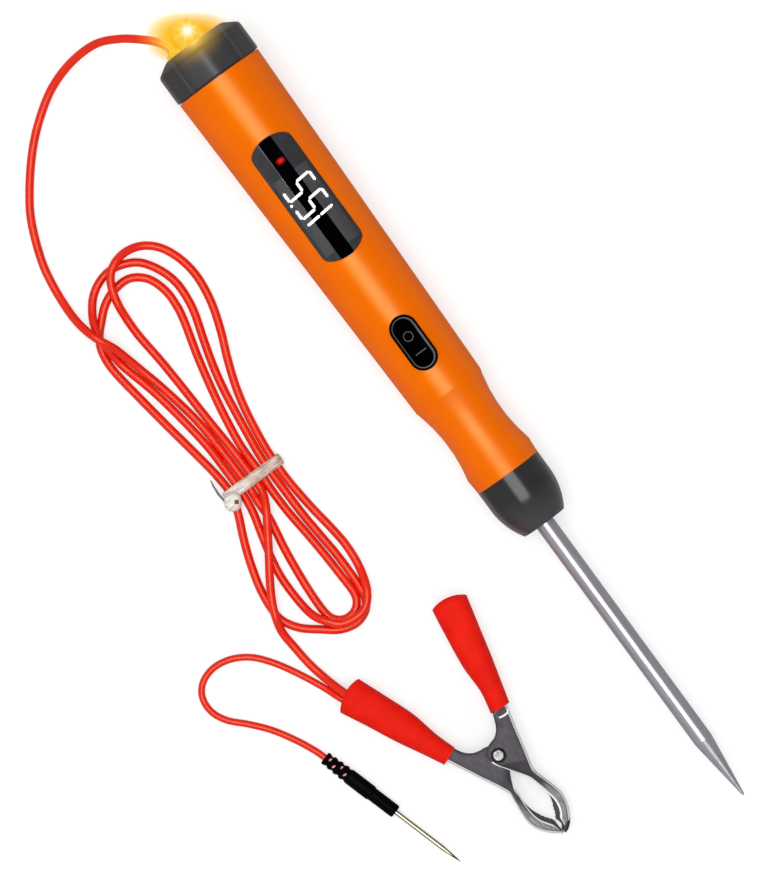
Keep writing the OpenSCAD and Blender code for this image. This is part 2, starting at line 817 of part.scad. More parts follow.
barrel();
end_cap();
lamp_lens();
lamp_led();
lamp_leads();
lead_grommet();
lead_tail();
display_window();
display_module();
indicator_led();
circuit_board();
controller_chip();
board_parts();
switch_bezel();
switch_rocker();
nose_collar();
probe_socket();
probe_wire();
probe();
lead_start();
lead_hank();
hank_tie();
lead_end();
clip_fixed_jaw();
clip_moving_jaw();
clip_pivot();
clip_spring();
clip_sleeve_fixed();
clip_sleeve_moving();
short_lead();
needle_boot();
needle();
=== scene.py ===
import json
import math

import bmesh
import bpy
from mathutils import Matrix, Vector


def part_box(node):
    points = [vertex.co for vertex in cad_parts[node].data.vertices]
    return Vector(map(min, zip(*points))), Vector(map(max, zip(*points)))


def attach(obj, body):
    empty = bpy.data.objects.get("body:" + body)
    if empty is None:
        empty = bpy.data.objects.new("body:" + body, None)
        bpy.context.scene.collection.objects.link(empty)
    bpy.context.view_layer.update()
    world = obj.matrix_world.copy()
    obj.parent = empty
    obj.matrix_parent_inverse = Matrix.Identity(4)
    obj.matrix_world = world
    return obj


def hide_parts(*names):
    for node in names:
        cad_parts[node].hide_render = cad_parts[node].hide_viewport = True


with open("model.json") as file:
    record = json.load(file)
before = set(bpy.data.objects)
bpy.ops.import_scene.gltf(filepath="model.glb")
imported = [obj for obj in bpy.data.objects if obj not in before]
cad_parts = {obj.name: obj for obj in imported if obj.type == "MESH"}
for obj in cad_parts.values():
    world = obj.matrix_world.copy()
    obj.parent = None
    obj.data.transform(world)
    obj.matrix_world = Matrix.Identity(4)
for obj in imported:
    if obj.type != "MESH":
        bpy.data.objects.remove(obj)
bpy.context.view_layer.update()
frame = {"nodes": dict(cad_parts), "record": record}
nodes = frame["nodes"]
scene = bpy.context.scene
mm = 0.001

# The tool lies nose down: its probe mount gives the axis, and the distance
# from the cap's end face to the mount gives the frame that the tool was drawn in
toolMount = next(m for m in frame["record"]["mounts"] if m["name"] == "probe")
toolAxis = Vector(toolMount["axis"])
capToMount = 155.05
toolFrame = (
    Matrix.Translation(Vector(toolMount["pos_m"]))
    @ Matrix.Rotation(math.atan2(-toolAxis.z, toolAxis.x), 4, "Y")
    @ Matrix.Translation((-capToMount * mm, 0, 0))
)


def turnedFrame(place, turn):  # the clip and the boot lie turned on the table
    return Matrix.Translation(Vector(place) * mm) @ Matrix.Rotation(turn, 4, "Z")


clipTurn, bootTurn = math.radians(6.8), math.radians(16.4)
clipFrame = turnedFrame((64.2, -37.2, 3.6), clipTurn)
bootFrame = turnedFrame((42.9, -67.5, 1.68), bootTurn)

print("frame loaded,", len(nodes), "nodes")


# Finishes: patterns repeat per millimetre, and depths and reaches are in millimetres

pattern = {
    "cloudEdge": (0.35, 0.7), "relief": 0.5, "plasticCloud": 0.12, "plasticSpread": 0.12,
    "plasticFine": 3.0, "vinylCloud": 0.25, "vinylPatch": 0.8, "vinylSpread": 0.15,
    "vinylFine": 1.6, "vinylDepth": 0.01, "lines": 1.0, "lineRough": 0.6, "lineEdge": (0.3, 0.7),
    "lineSpread": 0.2, "lineDepth": 0.004, "lineRelief": 0.35, "paleEdge": (0.35, 0.65),
    "paleShade": 0.6, "edgeWearAndHighlightStep": (0.02, 0.25), "polish": 0.2, "edgeSamples": 6, "softSamples": 4,
}


def operator(operation, reflected=False):  # between an output and what stands beside it
    def method(self, other):
        first, second = (other, self) if reflected else (self, other)
        return self.math(operation, first, second)
    return method


class Wire:  # a node's output, with arithmetic on it
    def __init__(self, finish, socket):
        self.finish = finish
        self.socket = socket

    def math(self, operation, first, second=0.0):
        return self.finish.node("ShaderNodeMath", {"operation": operation}, {0: first, 1: second})

    def made(self, operation):
        return self.finish.node("ShaderNodeMath", {"operation": operation}, {0: self})

    def __abs__(self):
        return self.made("ABSOLUTE")

    __add__ = __radd__ = operator("ADD")
    __mul__ = __rmul__ = operator("MULTIPLY")
    __sub__, __rsub__ = operator("SUBTRACT"), operator("SUBTRACT", True)
    __truediv__, __rtruediv__ = operator("DIVIDE"), operator("DIVIDE", True)
    __pow__, least, most = operator("POWER"), operator("MINIMUM"), operator("MAXIMUM")


class Finish:  # one material, its shader and its node maker
    def __init__(self, name, **shader):
        self.material = bpy.data.materials.new(name)
        self.material.use_nodes = True
        self.tree = self.material.node_tree
        self.shader = self.tree.nodes["Principled BSDF"]
        for socket, value in shader.items():
            self.set(socket.replace("_", " "), value)

    def plug(self, socket, value):
        if isinstance(value, Wire):
            self.tree.links.new(value.socket, socket)
        elif socket.type == "RGBA" and len(value) == 3:
            socket.default_value = (*value, 1)
        else:
            socket.default_value = value

    def set(self, socket, value):
        self.plug(self.shader.inputs[socket], value)

    def node(self, kind, settings=None, inputs=None, output=0):
        made = self.tree.nodes.new(kind)
        for key, value in (settings or {}).items():
            if key == "stops":
                ramp = made.color_ramp.elements
                while len(ramp) < len(value):
                    ramp.new(0.5)
                for stop, (place, colour) in zip(ramp, value):
                    stop.position = place
                    stop.color = (*colour, 1)
            else:
                setattr(made, key, value)
        for key, value in (inputs or {}).items():
            self.plug(made.inputs[key], value)
        return Wire(self, made.outputs[output])

    def place(self, move=(0, 0, 0), turn=(0, 0, 0), stretch=(1, 1, 1)):
        return self.node("ShaderNodeMapping", {"vector_type": "POINT"},
                         {0: self.node("ShaderNodeTexCoord", output=3), 1: move, 2: turn, 3: stretch})

    def noise(self, perMm, detail=2.0, rough=0.5, place=None):
        return self.node("ShaderNodeTexNoise", None, {
            "Vector": place or self.place(), "Scale": perMm / mm, "Detail": detail, "Roughness": rough})

    def blend(self, mask, first, second):
        return self.node("ShaderNodeMix", {"data_type": "RGBA"}, {0: mask, 6: first, 7: second}, 2)

    def ramp(self, value, stops):
        return self.node("ShaderNodeValToRGB", {"stops": stops}, {0: value})

    def step(self, value, low, high):  # 0 under low, 1 over high
        return self.node("ShaderNodeMapRange", {"clamp": True}, {0: value, 1: low, 2: high})

    def between(self, value, span):  # the same, over a span in millimetres
        return self.step(value, span[0] * mm, span[1] * mm)

    def edges(self, reach):  # 0 on the piece's faces, and more along its edges
        soft = self.node("ShaderNodeBevel", {"samples": pattern["edgeSamples"]}, {"Radius": reach * mm})
        flat = self.node("ShaderNodeNewGeometry", output=1)
        return 1 - self.node("ShaderNodeVectorMath", {"operation": "DOT_PRODUCT"},
                             {0: soft, 1: flat}, 1)

    def split(self, vector):
        made = self.tree.nodes.new("ShaderNodeSeparateXYZ")
        self.plug(made.inputs[0], vector)
        return [Wire(self, made.outputs[axis]) for axis in range(3)]

    def where(self, axis):  # the place along one axis of the frame
        return self.split(self.place())[axis]

    def centred(self, centre, turn=0.0):  # along, across and up from a point of the frame
        start = Matrix.Rotation(turn, 3, "Z") @ centre
        return self.split(self.place(move=-start, turn=(0, 0, turn)))

    def away(self, centre, squeeze=1.0):  # level distance from a point of the frame
        along, across, _ = self.centred(centre)
        return (along * along * squeeze + across * across).made("SQRT")

    def flanks(self, span):  # 0 along the tool's top, 1 on its two sides
        return self.between(abs(self.where(1)), span)

    def bump(self, height, depth, strength=1.0, soften=0.0):
        inputs = {"Height": height, "Distance": depth * mm, "Strength": strength}
        if soften:  # edges catch the light as if they were rounded
            inputs["Normal"] = self.node("ShaderNodeBevel", {"samples": pattern["softSamples"]},
                                         {"Radius": soften * mm})
        self.set("Normal", self.node("ShaderNodeBump", None, inputs))


def srgb(red, green, blue):
    def linear(part):
        part /= 255
        return part / 12.92 if part <= 0.04045 else ((part + 0.055) / 1.055) ** 2.4
    return tuple(linear(part) for part in (red, green, blue))


def darker(colour, share):
    return tuple(share * part for part in colour)


def clouded(finish, perMm, colour, shade):  # the colour drifts between two
    cloud = finish.noise(perMm, 3.0)
    finish.skin = finish.blend(finish.step(cloud, *pattern["cloudEdge"]), colour, shade)
    finish.set("Base Color", finish.skin)
    return cloud


def mouldedPlastic(name, colour, shade, roughness, grain=0.006, soften=0.0, **shader):
    plastic = Finish(name, Roughness=roughness, **shader)
    cloud = clouded(plastic, pattern["plasticCloud"], colour, shade)
    plastic.set("Roughness", roughness + (cloud - 0.5) * pattern["plasticSpread"])
    plastic.bump(plastic.noise(pattern["plasticFine"]), grain, pattern["relief"], soften)
    return plastic


def vinyl(name, colour, shade, roughness, shine=0.45, tint=(1, 1, 1)):
    soft = Finish(name, Roughness=roughness, Specular_IOR_Level=shine, Specular_Tint=tint)
    clouded(soft, pattern["vinylCloud"], colour, shade)
    patch = soft.noise(pattern["vinylPatch"], 3.0)
    soft.set("Roughness", roughness + (patch - 0.5) * pattern["vinylSpread"])
    soft.bump(soft.noise(pattern["vinylFine"], 3.0), pattern["vinylDepth"], pattern["relief"])
    return soft


def brushedMetal(name, colour, bright, roughness, stretch, edge=0.25, shade=0.82, metallic=1.0,
                 paler=None):
    metal = Finish(name, Metallic=metallic)
    lines = metal.noise(pattern["lines"], 3.0, pattern["lineRough"], metal.place(stretch=stretch))
    # wear and painted highlight: edges are painted brighter and smoother
    edgeWearAndHighlight = metal.step(metal.edges(edge), *pattern["edgeWearAndHighlightStep"])
    skin = metal.blend(metal.step(lines, *pattern["lineEdge"]), colour, darker(colour, shade))
    if paler:  # a paler colour towards the clip's tip
        span, light = paler
        along = metal.centred(clipFrame.translation, -clipTurn)[0]
        pale = metal.step(lines, *pattern["paleEdge"])
        pale = metal.blend(pale, light, darker(light, pattern["paleShade"]))
        skin = metal.blend(metal.between(along, span), skin, pale)
    metal.set("Base Color", metal.blend(edgeWearAndHighlight, skin, bright))
    uneven = roughness + (lines - 0.5) * pattern["lineSpread"]
    metal.set("Roughness", uneven - edgeWearAndHighlight * (roughness - pattern["polish"]))
    metal.bump(lines, pattern["lineDepth"], pattern["lineRelief"])
    return metal


finishes = {
    "handle": mouldedPlastic("handlePlastic", srgb(250, 104, 0), srgb(245, 101, 0), 0.36, soften=0.35,
                             Specular_IOR_Level=1.0, Specular_Tint=(1, 0.8, 0.03), IOR=1.45,
                             Coat_Roughness=0.36),
    "cap": mouldedPlastic("capPlastic", srgb(30, 27, 31), srgb(24, 22, 26), 0.42, 0.01,
                          Specular_IOR_Level=0.72),
    "trim": mouldedPlastic("trimPlastic", srgb(27, 25, 29), srgb(22, 20, 24), 0.18, 0.003,
                           Specular_IOR_Level=0.54),
    "switch": mouldedPlastic("switchPlastic", srgb(3, 3, 4), srgb(1, 1, 1), 0.3,
                             Specular_IOR_Level=0.0),
    # painted highlight: a lighter grey for the rim's chamfer
    "bezel": mouldedPlastic("switchRimHighlight", srgb(100, 100, 102), srgb(60, 58, 62), 0.2),
    "marks": mouldedPlastic("switchMarks", srgb(80, 80, 82), srgb(50, 50, 52), 0.4),
    "chip": mouldedPlastic("chipBody", srgb(26, 26, 28), srgb(34, 34, 36), 0.5),
    # painted shade: a dark red for the face that stands for the tie head's hole
    "tieHoleShade": mouldedPlastic("tieHoleShade", srgb(120, 10, 10), srgb(90, 8, 8), 0.5),
    "tail": mouldedPlastic("tieTail", srgb(150, 148, 154), srgb(120, 118, 124), 0.4),
    "lead": vinyl("leadInsulation", srgb(243, 30, 4), srgb(230, 20, 3), 0.2, 0.7, (1, 0.68, 0.46)),
    "sleeve": vinyl("sleeveVinyl", srgb(242, 29, 13), srgb(229, 21, 10), 0.6, 0.2, (1, 0.5, 0.4)),
    "boot": vinyl("bootVinyl", srgb(5, 4, 6), srgb(3, 3, 3), 0.42, 0.03),
    # painted highlight: the red lead seen in the boot's slots is painted pale pink
    "glimpse": vinyl("leadGlimpseHighlight", srgb(240, 160, 170), srgb(222, 96, 108), 0.3),
    "display": vinyl("displayFace", srgb(3, 3, 4), srgb(5, 5, 6), 0.5, 0.0),
    "probe": brushedMetal("probeSteel", (0.5, 0.485, 0.53), (0.6, 0.6, 0.62), 0.3, (0.06, 3, 3), 0.1),
    "clip": brushedMetal("clipSteel", srgb(70, 67, 71), (0.3, 0.3, 0.3), 0.46, (0.5, 2.5, 2.5), 0.1,
                         metallic=0.85, paler=((9.86, 14.86), srgb(124, 121, 125))),
    # a darker copy of the clip steel for the jaws' tips and, as painted shade, the lower cheeks' insides
    "inside": brushedMetal("clipInside", srgb(68, 65, 69), (0.12, 0.12, 0.12), 0.5, (0.5, 2.5, 2.5),
                           0.1, metallic=0.85),
    # painted shade: a dark steel for the ring round each rivet head and for the plate under the crimped
    # tab
    "seat": brushedMetal("paintedShadeSteel", srgb(56, 54, 57), (0.2, 0.2, 0.2), 0.4, (1, 1, 1), 0.1),
    # painted highlight: a bright copy of the clip steel for the jaws' rims, bends and free edges and for
    # the crimped tab's wire
    "rim": brushedMetal("clipRimHighlight", (0.95, 0.95, 0.95), (0.98, 0.98, 0.98), 0.3, (0.5, 2.5, 2.5), 0.12,
                        metallic=0.5),
    "rivet": brushedMetal("rivetSteel", (0.34, 0.34, 0.35), (0.5, 0.5, 0.5), 0.3, (1.9, 1.9, 1.9),
                          0.08, shade=0.25),
    "brass": brushedMetal("socketBrass", srgb(204, 168, 84), srgb(240, 214, 140), 0.3, (1, 1, 1)),
}


def boardLaminate():
    board = Finish("boardLaminate", Roughness=0.35)
    tracks = board.step(board.noise(0.6, 0.0), 0.5, 0.52)
    board.set("Base Color", board.blend(tracks, srgb(20, 82, 44), srgb(34, 110, 58)))
    return board


needle = {"diameter": 1.08, "ripples": 0.5, "ripple": 0.06, "darkTip": (33, 34.6), "fine": 6.0}


def needleGold():  # painted reflections: light and dark bands along the needle, painted across it where reflections would fall on a pale plating, and a dark tip
    gold = Finish("needleGold", Metallic=1.0, Roughness=0.18)
    along, across, _ = gold.centred(bootFrame.translation, -bootTurn)
    ripple = (gold.noise(needle["ripples"], 1.0) - 0.5) * needle["ripple"]
    paintedBandPlace = across / (needle["diameter"] * mm) + 0.5 + ripple
    lines = gold.ramp(paintedBandPlace, [
        (0.0, srgb(214, 208, 180)), (0.17, srgb(206, 198, 164)), (0.25, srgb(66, 58, 32)),
        (0.33, srgb(232, 220, 172)), (0.5, srgb(244, 235, 200)), (0.57, srgb(40, 34, 16)),
        (0.71, srgb(26, 22, 10)), (0.78, srgb(232, 222, 180)), (1.0, srgb(214, 206, 176))])
    tip = gold.between(along, needle["darkTip"])
    gold.set("Base Color", gold.blend(tip, lines, srgb(52, 48, 40)))
    gold.bump(gold.noise(needle["fine"]), 0.004, 0.4)
    return gold


streaked = {"lines": 0.8, "stretch": (2.4, 0.5, 2.4), "dusky": (-48.2, -45.4), "depth": 0.35}


def tieNylon():  # clear by its head, and dusky from the middle on
    nylon = Finish("tieNylon", Roughness=0.18, Specular_IOR_Level=0.8, Alpha=0.8)
    place = nylon.place(stretch=streaked["stretch"])
    streaks = nylon.noise(streaked["lines"], 3.0, pattern["lineRough"], place)
    clear = nylon.ramp(streaks, [(0.3, srgb(196, 178, 166)), (0.48, srgb(236, 226, 214)),
                                 (0.62, srgb(255, 252, 250))])
    dusky = nylon.ramp(streaks, [(0.3, srgb(158, 126, 110)), (0.48, srgb(206, 172, 154)),
                                 (0.62, srgb(238, 214, 200))])
    change = nylon.between(nylon.where(1), streaked["dusky"])
    nylon.set("Base Color", nylon.blend(change, clear, dusky))
    nylon.bump(streaks, streaked["depth"], 0.6)
    return nylon


window = {"stripAt": -0.27, "stripHalf": (1.6, 1.68), "edge": (0.97, 1.0), "spot": 1.15,
          "spotShort": 1.7, "spotFade": 1.6, "clear": 0.35}


def windowPlastic(sight, spot):
    smoked = Finish("windowPlastic", Roughness=0.05, Specular_IOR_Level=0.0, Emission_Strength=1.0)
    low, high = sight
    half = (high - low) / 2
    along, across, _ = smoked.centred((low + high) / 2)
    outside = (abs(along) / half.x).most(abs(across) / half.y)
    shut = smoked.step(outside, *window["edge"])
    # painted reflection: the clear strip is painted black and does not reflect, where the reflection is
    # dark; its two sides reflect like a mirror, darker round the display
    side = smoked.between(abs(across - window["stripAt"] * mm), window["stripHalf"])
    cloud = smoked.noise(0.25, 1.0)
    reflectiveSides = smoked.blend(shut, (0.2, 0.195, 0.205), (0.08, 0.078, 0.084))
    reflectiveSides = smoked.blend(smoked.step(cloud, 0.5, 0.56) * 0.25, reflectiveSides, (0.13, 0.125, 0.135))
    smoked.set("Base Color", smoked.blend(side, (0.001, 0.001, 0.002), reflectiveSides))
    smoked.set("Metallic", side)
    # open to what stands behind it over the display and the small lamp only
    away = smoked.away(spot, window["spotShort"]) / (window["spot"] * mm)
    smoked.set("Alpha", 1 - window["clear"] * (1 - smoked.step(outside.least(away), *window["edge"])))
    # painted light: the window glows red round the indicator lamp beneath it
    paintedLedGlow = (1 - away.least(1.0)) ** window["spotFade"]
    smoked.set("Emission Color", smoked.blend(paintedLedGlow, (0, 0, 0), srgb(255, 48, 34)))
    return smoked


lamp = {"core": (-2.7, 0.4), "flareRays": 4.0, "rayTurn": 0.3, "raySharp": 11.0, "rayReach": (0.5, 4.0),
        "rayLight": 0.45, "reach": 4.2, "whiteFade": 0.13, "paintedGlowFrom": 2.5}
lampCore = toolFrame @ (Vector((*lamp["core"], 0)) * mm)


def lampGlow(name, alpha, strength, white):
    glow = Finish(name, Roughness=0.5, Specular_IOR_Level=0.1, Emission_Strength=strength, Alpha=alpha)
    along, across, _ = glow.centred(lampCore)
    # painted flare: a star of rays is painted into the lamp's glow
    turn = across.math("ARCTAN2", across, along)
    flareRays = abs((lamp["flareRays"] * turn + lamp["rayTurn"]).made("COSINE")) ** lamp["raySharp"]
    away = (along * along + across * across).made("SQRT")
    flareRays = flareRays * (1 - glow.between(away, lamp["rayReach"])) * lamp["rayLight"]
    colour = glow.ramp(away / (lamp["reach"] * mm), [
        (0.0, (1, 1, 0.96)), (white, (1, 0.98, 0.8)), (white + lamp["whiteFade"], srgb(255, 228, 118)),
        (0.5, srgb(251, 201, 60)), (1.0, srgb(248, 193, 46))])
    glow.set("Emission Color", glow.blend(flareRays, colour, (1, 0.94, 0.6)))
    glow.set("Base Color", srgb(20, 12, 0))
    return glow


def paintedLampGlow(finish, colour, reach, power):  # painted light: what stands by the lit lamp is painted with an emitted glow of its colour
    near = (1 - finish.between(finish.away(lampCore), (lamp["paintedGlowFrom"], reach))) ** power
    finish.set("Emission Color", finish.blend(near, (0, 0, 0), colour))
    finish.set("Emission Strength", 1.0)


def glowing(name, colour, strength):
    light = Finish(name, Roughness=0.3, Base_Color=colour, Emission_Strength=strength)
    light.set("Emission Color", colour)
    return light


finishes.update({
    "board": boardLaminate(), "needle": needleGold(), "tie": tieNylon(),
    "window": windowPlastic(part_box("display_module"), sum(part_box("indicator_led"), Vector()) / 2),
    "lens": lampGlow("lensPlastic", 0.85, 0.98, 0.17), "led": lampGlow("ledResin", 1.0, 1.0, 0.2),
    "indicator": glowing("indicatorResin", srgb(255, 20, 14), 1.2),
    "digits": glowing("digitSegments", srgb(255, 255, 255), 11.0),
})
# painted lamp light on the cap, the lead and the boot
paintedLampGlow(finishes["cap"], srgb(238, 184, 0), 9.4, 2.3)
paintedLampGlow(finishes["lead"], srgb(200, 250, 60), 12, 2.0)
paintedLampGlow(finishes["boot"], srgb(255, 206, 60), 14, 0.35)


# Wear, tone and painted highlights: spans are in millimetres, but upright is how far the surface faces
# up

wearAndSheen = {
    "cornerAt": 6.42, "corner": (0.05, 0.5), "cornerShare": 0.4, "outerCorner": (9.6, 10.3),
    "pale": srgb(84, 80, 86), "nose": (22, 28.5), "noseColour": srgb(57, 55, 58),
    "upright": (0.3, 0.52),
    # finish, socket, its value on top, the change on the sides, and where it starts and ends
    "flanks": [("handle", "Roughness", 0.36, 0.3, (4.5, 8.5)),
               ("handle", "Coat Weight", 0.6, -0.6, (0.6, 2.8)),
               ("trim", "Roughness", 0.18, 0.22, (2.6, 4.6)),
               ("probe", "Roughness", 0.28, 0.24, (0.7, 1.3))],
}


def capCornerHighlights():  # painted highlights: the cap's corners and outer sides are painted paler, as if they caught the light
    plastic = finishes["cap"]
    across = abs(plastic.where(1))
    inner = 1 - plastic.between(abs(across - wearAndSheen["cornerAt"] * mm), wearAndSheen["corner"])
    paintedEdgeHighlight = (inner * wearAndSheen["cornerShare"]).most(plastic.between(across, wearAndSheen["outerCorner"]))
    plastic.set("Base Color", plastic.blend(paintedEdgeHighlight, plastic.skin, wearAndSheen["pale"]))


def collarToneAndSheen():  # the collar is paler at its nose, and its two steep sides are painted paler as a painted sheen
    plastic = finishes["trim"]
    nose = plastic.between(plastic.where(0), wearAndSheen["nose"])
    nose = plastic.blend(nose, plastic.skin, wearAndSheen["noseColour"])
    facing = plastic.split(plastic.node("ShaderNodeNewGeometry", output=1))
    side = 1 - plastic.step(abs(facing[2]), *wearAndSheen["upright"])
    plastic.set("Base Color", plastic.blend(side, nose, wearAndSheen["pale"]))


capCornerHighlights()
collarToneAndSheen()
# handling has dulled the tool's sides and polished its top
for look, socket, top, change, span in wearAndSheen["flanks"]:
    finishes[look].set(socket, top + finishes[look].flanks(span) * change)

nodeFinishes = {
    "handle": ["barrel"], "cap": ["end_cap"], "trim": ["nose_collar"], "lens": ["lamp_lens"],
    "led": ["lamp_led"], "rivet": ["lamp_leads", "clip_pivot", "clip_spring"],
    "boot": ["lead_grommet", "needle_boot"], "lead": ["lead_tail", "probe_wire"],
    "window": ["display_window"], "display": ["display_module"], "indicator": ["indicator_led"],
    "board": ["circuit_board"], "chip": ["controller_chip", "board_parts"],
    "switch": ["switch_bezel", "switch_rocker"], "brass": ["probe_socket"], "probe": ["probe"],
    "tie": ["hank_tie"], "clip": ["clip_fixed_jaw", "clip_moving_jaw"],
    "sleeve": ["clip_sleeve_fixed", "clip_sleeve_moving"], "needle": ["needle"],
}
for look, members in nodeFinishes.items():
    for node in members:
        nodes[node].data.materials.clear()
        nodes[node].data.materials.append(finishes[look].material)
print("finishes made:", len(finishes))


# Leads: every strand follows its given route, and a point without a height lies on the table

leads = {"diameter": 1.85, "rest": 0.95, "shortDiameter": 1.5, "shortRest": 0.77, "roundness": 5,
         "steps": 8}

mainRoute = [
    (-97.55, -4.9, 11.2), (-98.9, -5, 11.2), (-100.8, -6, 11.05), (-102.9, -7.9, 10.6),
    (-106.3, -12, 9.2), (-108.7, -17, 7.2), (-108.8, -23.5, 4.5), (-106.9, -30.1, 2.3),
    (-103.2, -36.1, 1.2), (-98.8, -41.2, 0.98), (-92.9, -46.3), (-86.9, -50.3, 0.94),
    (-79, -53.5, 0.96), (-73, -54.8, 1.02),
    # under the first turn, to the tie and out to the small loop
    (-66.5, -55.3, 2.0), (-62, -55, 3.5), (-58, -53.9, 4.6), (-54, -52.1, 3.6), (-50, -51, 2.1),
    (-46, -50, 1.2), (-42, -49), (-36, -47.8), (-30, -46.9), (-22, -46.5, 1.1), (-14, -46.4, 1.75),
    (-10, -46.7, 1.2), (-6, -46.8), (-2, -47.4), (2, -48.1), (8, -48.8), (13.5, -49.2),
    (17.6, -49.2), (19.7, -48.7), (21.2, -47.3), (21.7, -45.4), (21.2, -43.5), (19.7, -42.1),
    (17.6, -41.6),
    # back through the tie and round the inside of the large loop
    (13.5, -41.7), (8, -41.9), (2, -42.3), (-4, -42.8), (-10, -42.9, 1.3), (-14, -42.65, 1.75),
    (-18, -42.7, 1.5), (-22, -42.6, 1.0), (-28, -41.8), (-34, -40.7), (-42, -38.9), (-50, -36.7),
    (-54, -36), (-58, -36.1), (-62, -37.6), (-64.4, -40.8), (-64.3, -44.8), (-62.9, -48.2),
    (-60.4, -51.1), (-58.2, -53.2), (-55.2, -54.7),
    # along the outside, through the tie, to the small loop's outer turn
    (-50.5, -55.1), (-42, -54), (-34, -52.8), (-26, -51.5), (-19, -50.5, 1.3), (-14, -50.4, 1.75),
    (-10, -51.7, 1.4), (-6, -53.5), (-2, -55.1), (2, -56.4), (6, -57.4), (10.5, -57.9), (14, -57.5),
    (17.4, -55.4), (20.3, -52), (22.7, -48.8), (23.7, -45.3), (22.9, -42.3), (20.8, -40.5),
    # back through the tie and round the middle of the large loop
    (17.2, -39.85), (10, -39.8), (4, -40.2), (-2, -40.6), (-10, -40.7, 1.3), (-14, -40.7, 1.75),
    (-18, -40.5, 1.5), (-24, -39.8), (-32, -38.7), (-38, -37.5), (-44, -35.8), (-50, -33.9),
    (-54, -33.2), (-58, -33.2), (-62, -34.4), (-65.7, -36.8), (-67.6, -40), (-68.2, -43.2),
    (-67.5, -46.5), (-65.6, -49.5), (-62.6, -51.8, 1.5), (-60, -52.9, 2.4), (-57.5, -53.5, 2.75),
    (-54, -53.3, 2.1),
    # through the tie again, to the small loop's middle turn
    (-50, -52.9, 1.06), (-42, -50.9), (-34, -49.5), (-26, -48.5), (-20, -48.3, 1.3),
    (-14, -48.3, 1.75), (-9, -48.8, 1.2), (-4, -50.1), (2, -51.6), (7, -52.3), (13, -52.2, 1.0),
    (17, -51.5, 1.8), (19.8, -49.8, 2.5), (21.9, -47.7, 2.65), (22.6, -44.8, 2.6),
    (22.3, -42.1, 2.75), (20.8, -40.1, 2.8), (18.3, -38.6, 2.4),
    # back through the tie and round the outside of the large loop
    (14, -37.4, 1.25), (9, -37, 0.97), (4, -37.4), (-2, -38.2), (-9, -38.8, 1.3),
    (-14, -38.8, 1.75), (-19, -38.5, 1.4), (-26, -37.5), (-32, -36.1), (-38, -34), (-44, -31.5),
    (-50, -29.6), (-56, -28.8), (-61, -29.4), (-65.5, -31.3), (-68.3, -34.2, 1.1),
    (-69.4, -37.6, 1.8), (-69, -40.8, 2.6), (-67.5, -43.3, 2.8), (-65, -44.9, 2.8),
    (-61.5, -45.9, 2.5), (-57.5, -46.3, 1.5),
    # the last run, through the tie, over the small loop and out to the clip
    (-53, -46.3), (-46, -45.7), (-38, -45.3), (-30, -45), (-22, -44.6, 1.1), (-14, -44.5, 1.75),
    (-10.5, -44.8, 2.2), (-7, -46.4, 2.9), (-3, -49, 2.8), (1, -51.6, 2.8), (5, -54.3, 2.8),
    (9, -56.7, 2.8), (12.5, -58.2, 2.75), (16, -59, 1.75), (20, -58.8, 1.02), (25, -58.3, 1.02),
    (30, -57.2, 1.8), (34.4, -55.8, 3.8), (37.5, -54.5, 4.42), (40.5, -53.2, 4.42),
]
shortRoute = [
    (40.5, -54.2, 2.58), (37.6, -55.7, 2.58), (34.6, -57.3, 2.2), (30.3, -59, 1.2),
    (24.5, -61.8, 0.8), (19.8, -64.6), (16.3, -67.6), (14.1, -71.3), (13.4, -75.3), (14.5, -78.9),
    (17, -81), (20.6, -81.3), (24.1, -79.7), (27.6, -76.4), (31.6, -73.1), (36.3, -70.3, 0.9),
    (40.5, -68.3, 1.4), (43.5, -67.3, 1.68), (48, -66, 1.68),
]


def added(name, data):  # a new object in the scene
    thing = bpy.data.objects.new(name, data)
    scene.collection.objects.link(thing)
    return thing


def dressed(name, data, body, slotName, *stands):  # a piece that stands for the nodes named last
    piece = added(name, data)
    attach(piece, body)
    if any(stands):
        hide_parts(*stands)
    return piece


def roundCurve(name, kind, count, radius, roundness, finish):
    curve = bpy.data.curves.new(name, "CURVE")
    curve.dimensions = "3D"
    curve.bevel_depth = radius * mm
    curve.bevel_resolution = roundness
    curve.use_fill_caps = True
    curve.materials.append(finishes[finish].material)
    spline = curve.splines.new(kind)
    spline.resolution_u = leads["steps"]
    knots = spline.bezier_points if kind == "BEZIER" else spline.points
    knots.add(count - 1)
    return curve, knots


def leadAlong(name, route, rest, diameter, *stands):
    points = [Vector((*point, rest)[:3]) * mm for point in route]
    curve, knots = roundCurve(name, "BEZIER", len(points), diameter / 2, leads["roundness"], "lead")
    ends = [2 * points[0] - points[1], *points, 2 * points[-1] - points[-2]]
    for knot, before, point, after in zip(knots, ends, points, ends[2:]):
        knot.co = point
        knot.handle_left = point - (after - before) / 6
        knot.handle_right = point + (after - before) / 6
    return dressed(name, curve, "tool", "lead_insulation", *stands)


mainLead = leadAlong("groundLead", mainRoute, leads["rest"], leads["diameter"],
                     "lead_start", "lead_hank", "lead_end")
shortLead = leadAlong("needleLead", shortRoute, leads["shortRest"], leads["shortDiameter"], "short_lead")
print("leads laid")


# Mesh pieces

def pieceFrom(name, shape, looks, body, slotName, place=toolFrame, stand=None, sharp=0, smooth=True):
    mesh = bpy.data.meshes.new(name)
    bmesh.ops.scale(shape, verts=shape.verts, vec=(mm, mm, mm))
    bmesh.ops.recalc_face_normals(shape, faces=shape.faces)
    shape.to_mesh(mesh)
    shape.free()
    mesh.transform(place)
    for look in looks:
        mesh.materials.append(finishes[look].material)
    for face in mesh.polygons:
        face.use_smooth = smooth
    if sharp:
        mesh.set_sharp_from_angle(angle=math.radians(sharp))
    dressed(name, mesh, body, slotName, stand)


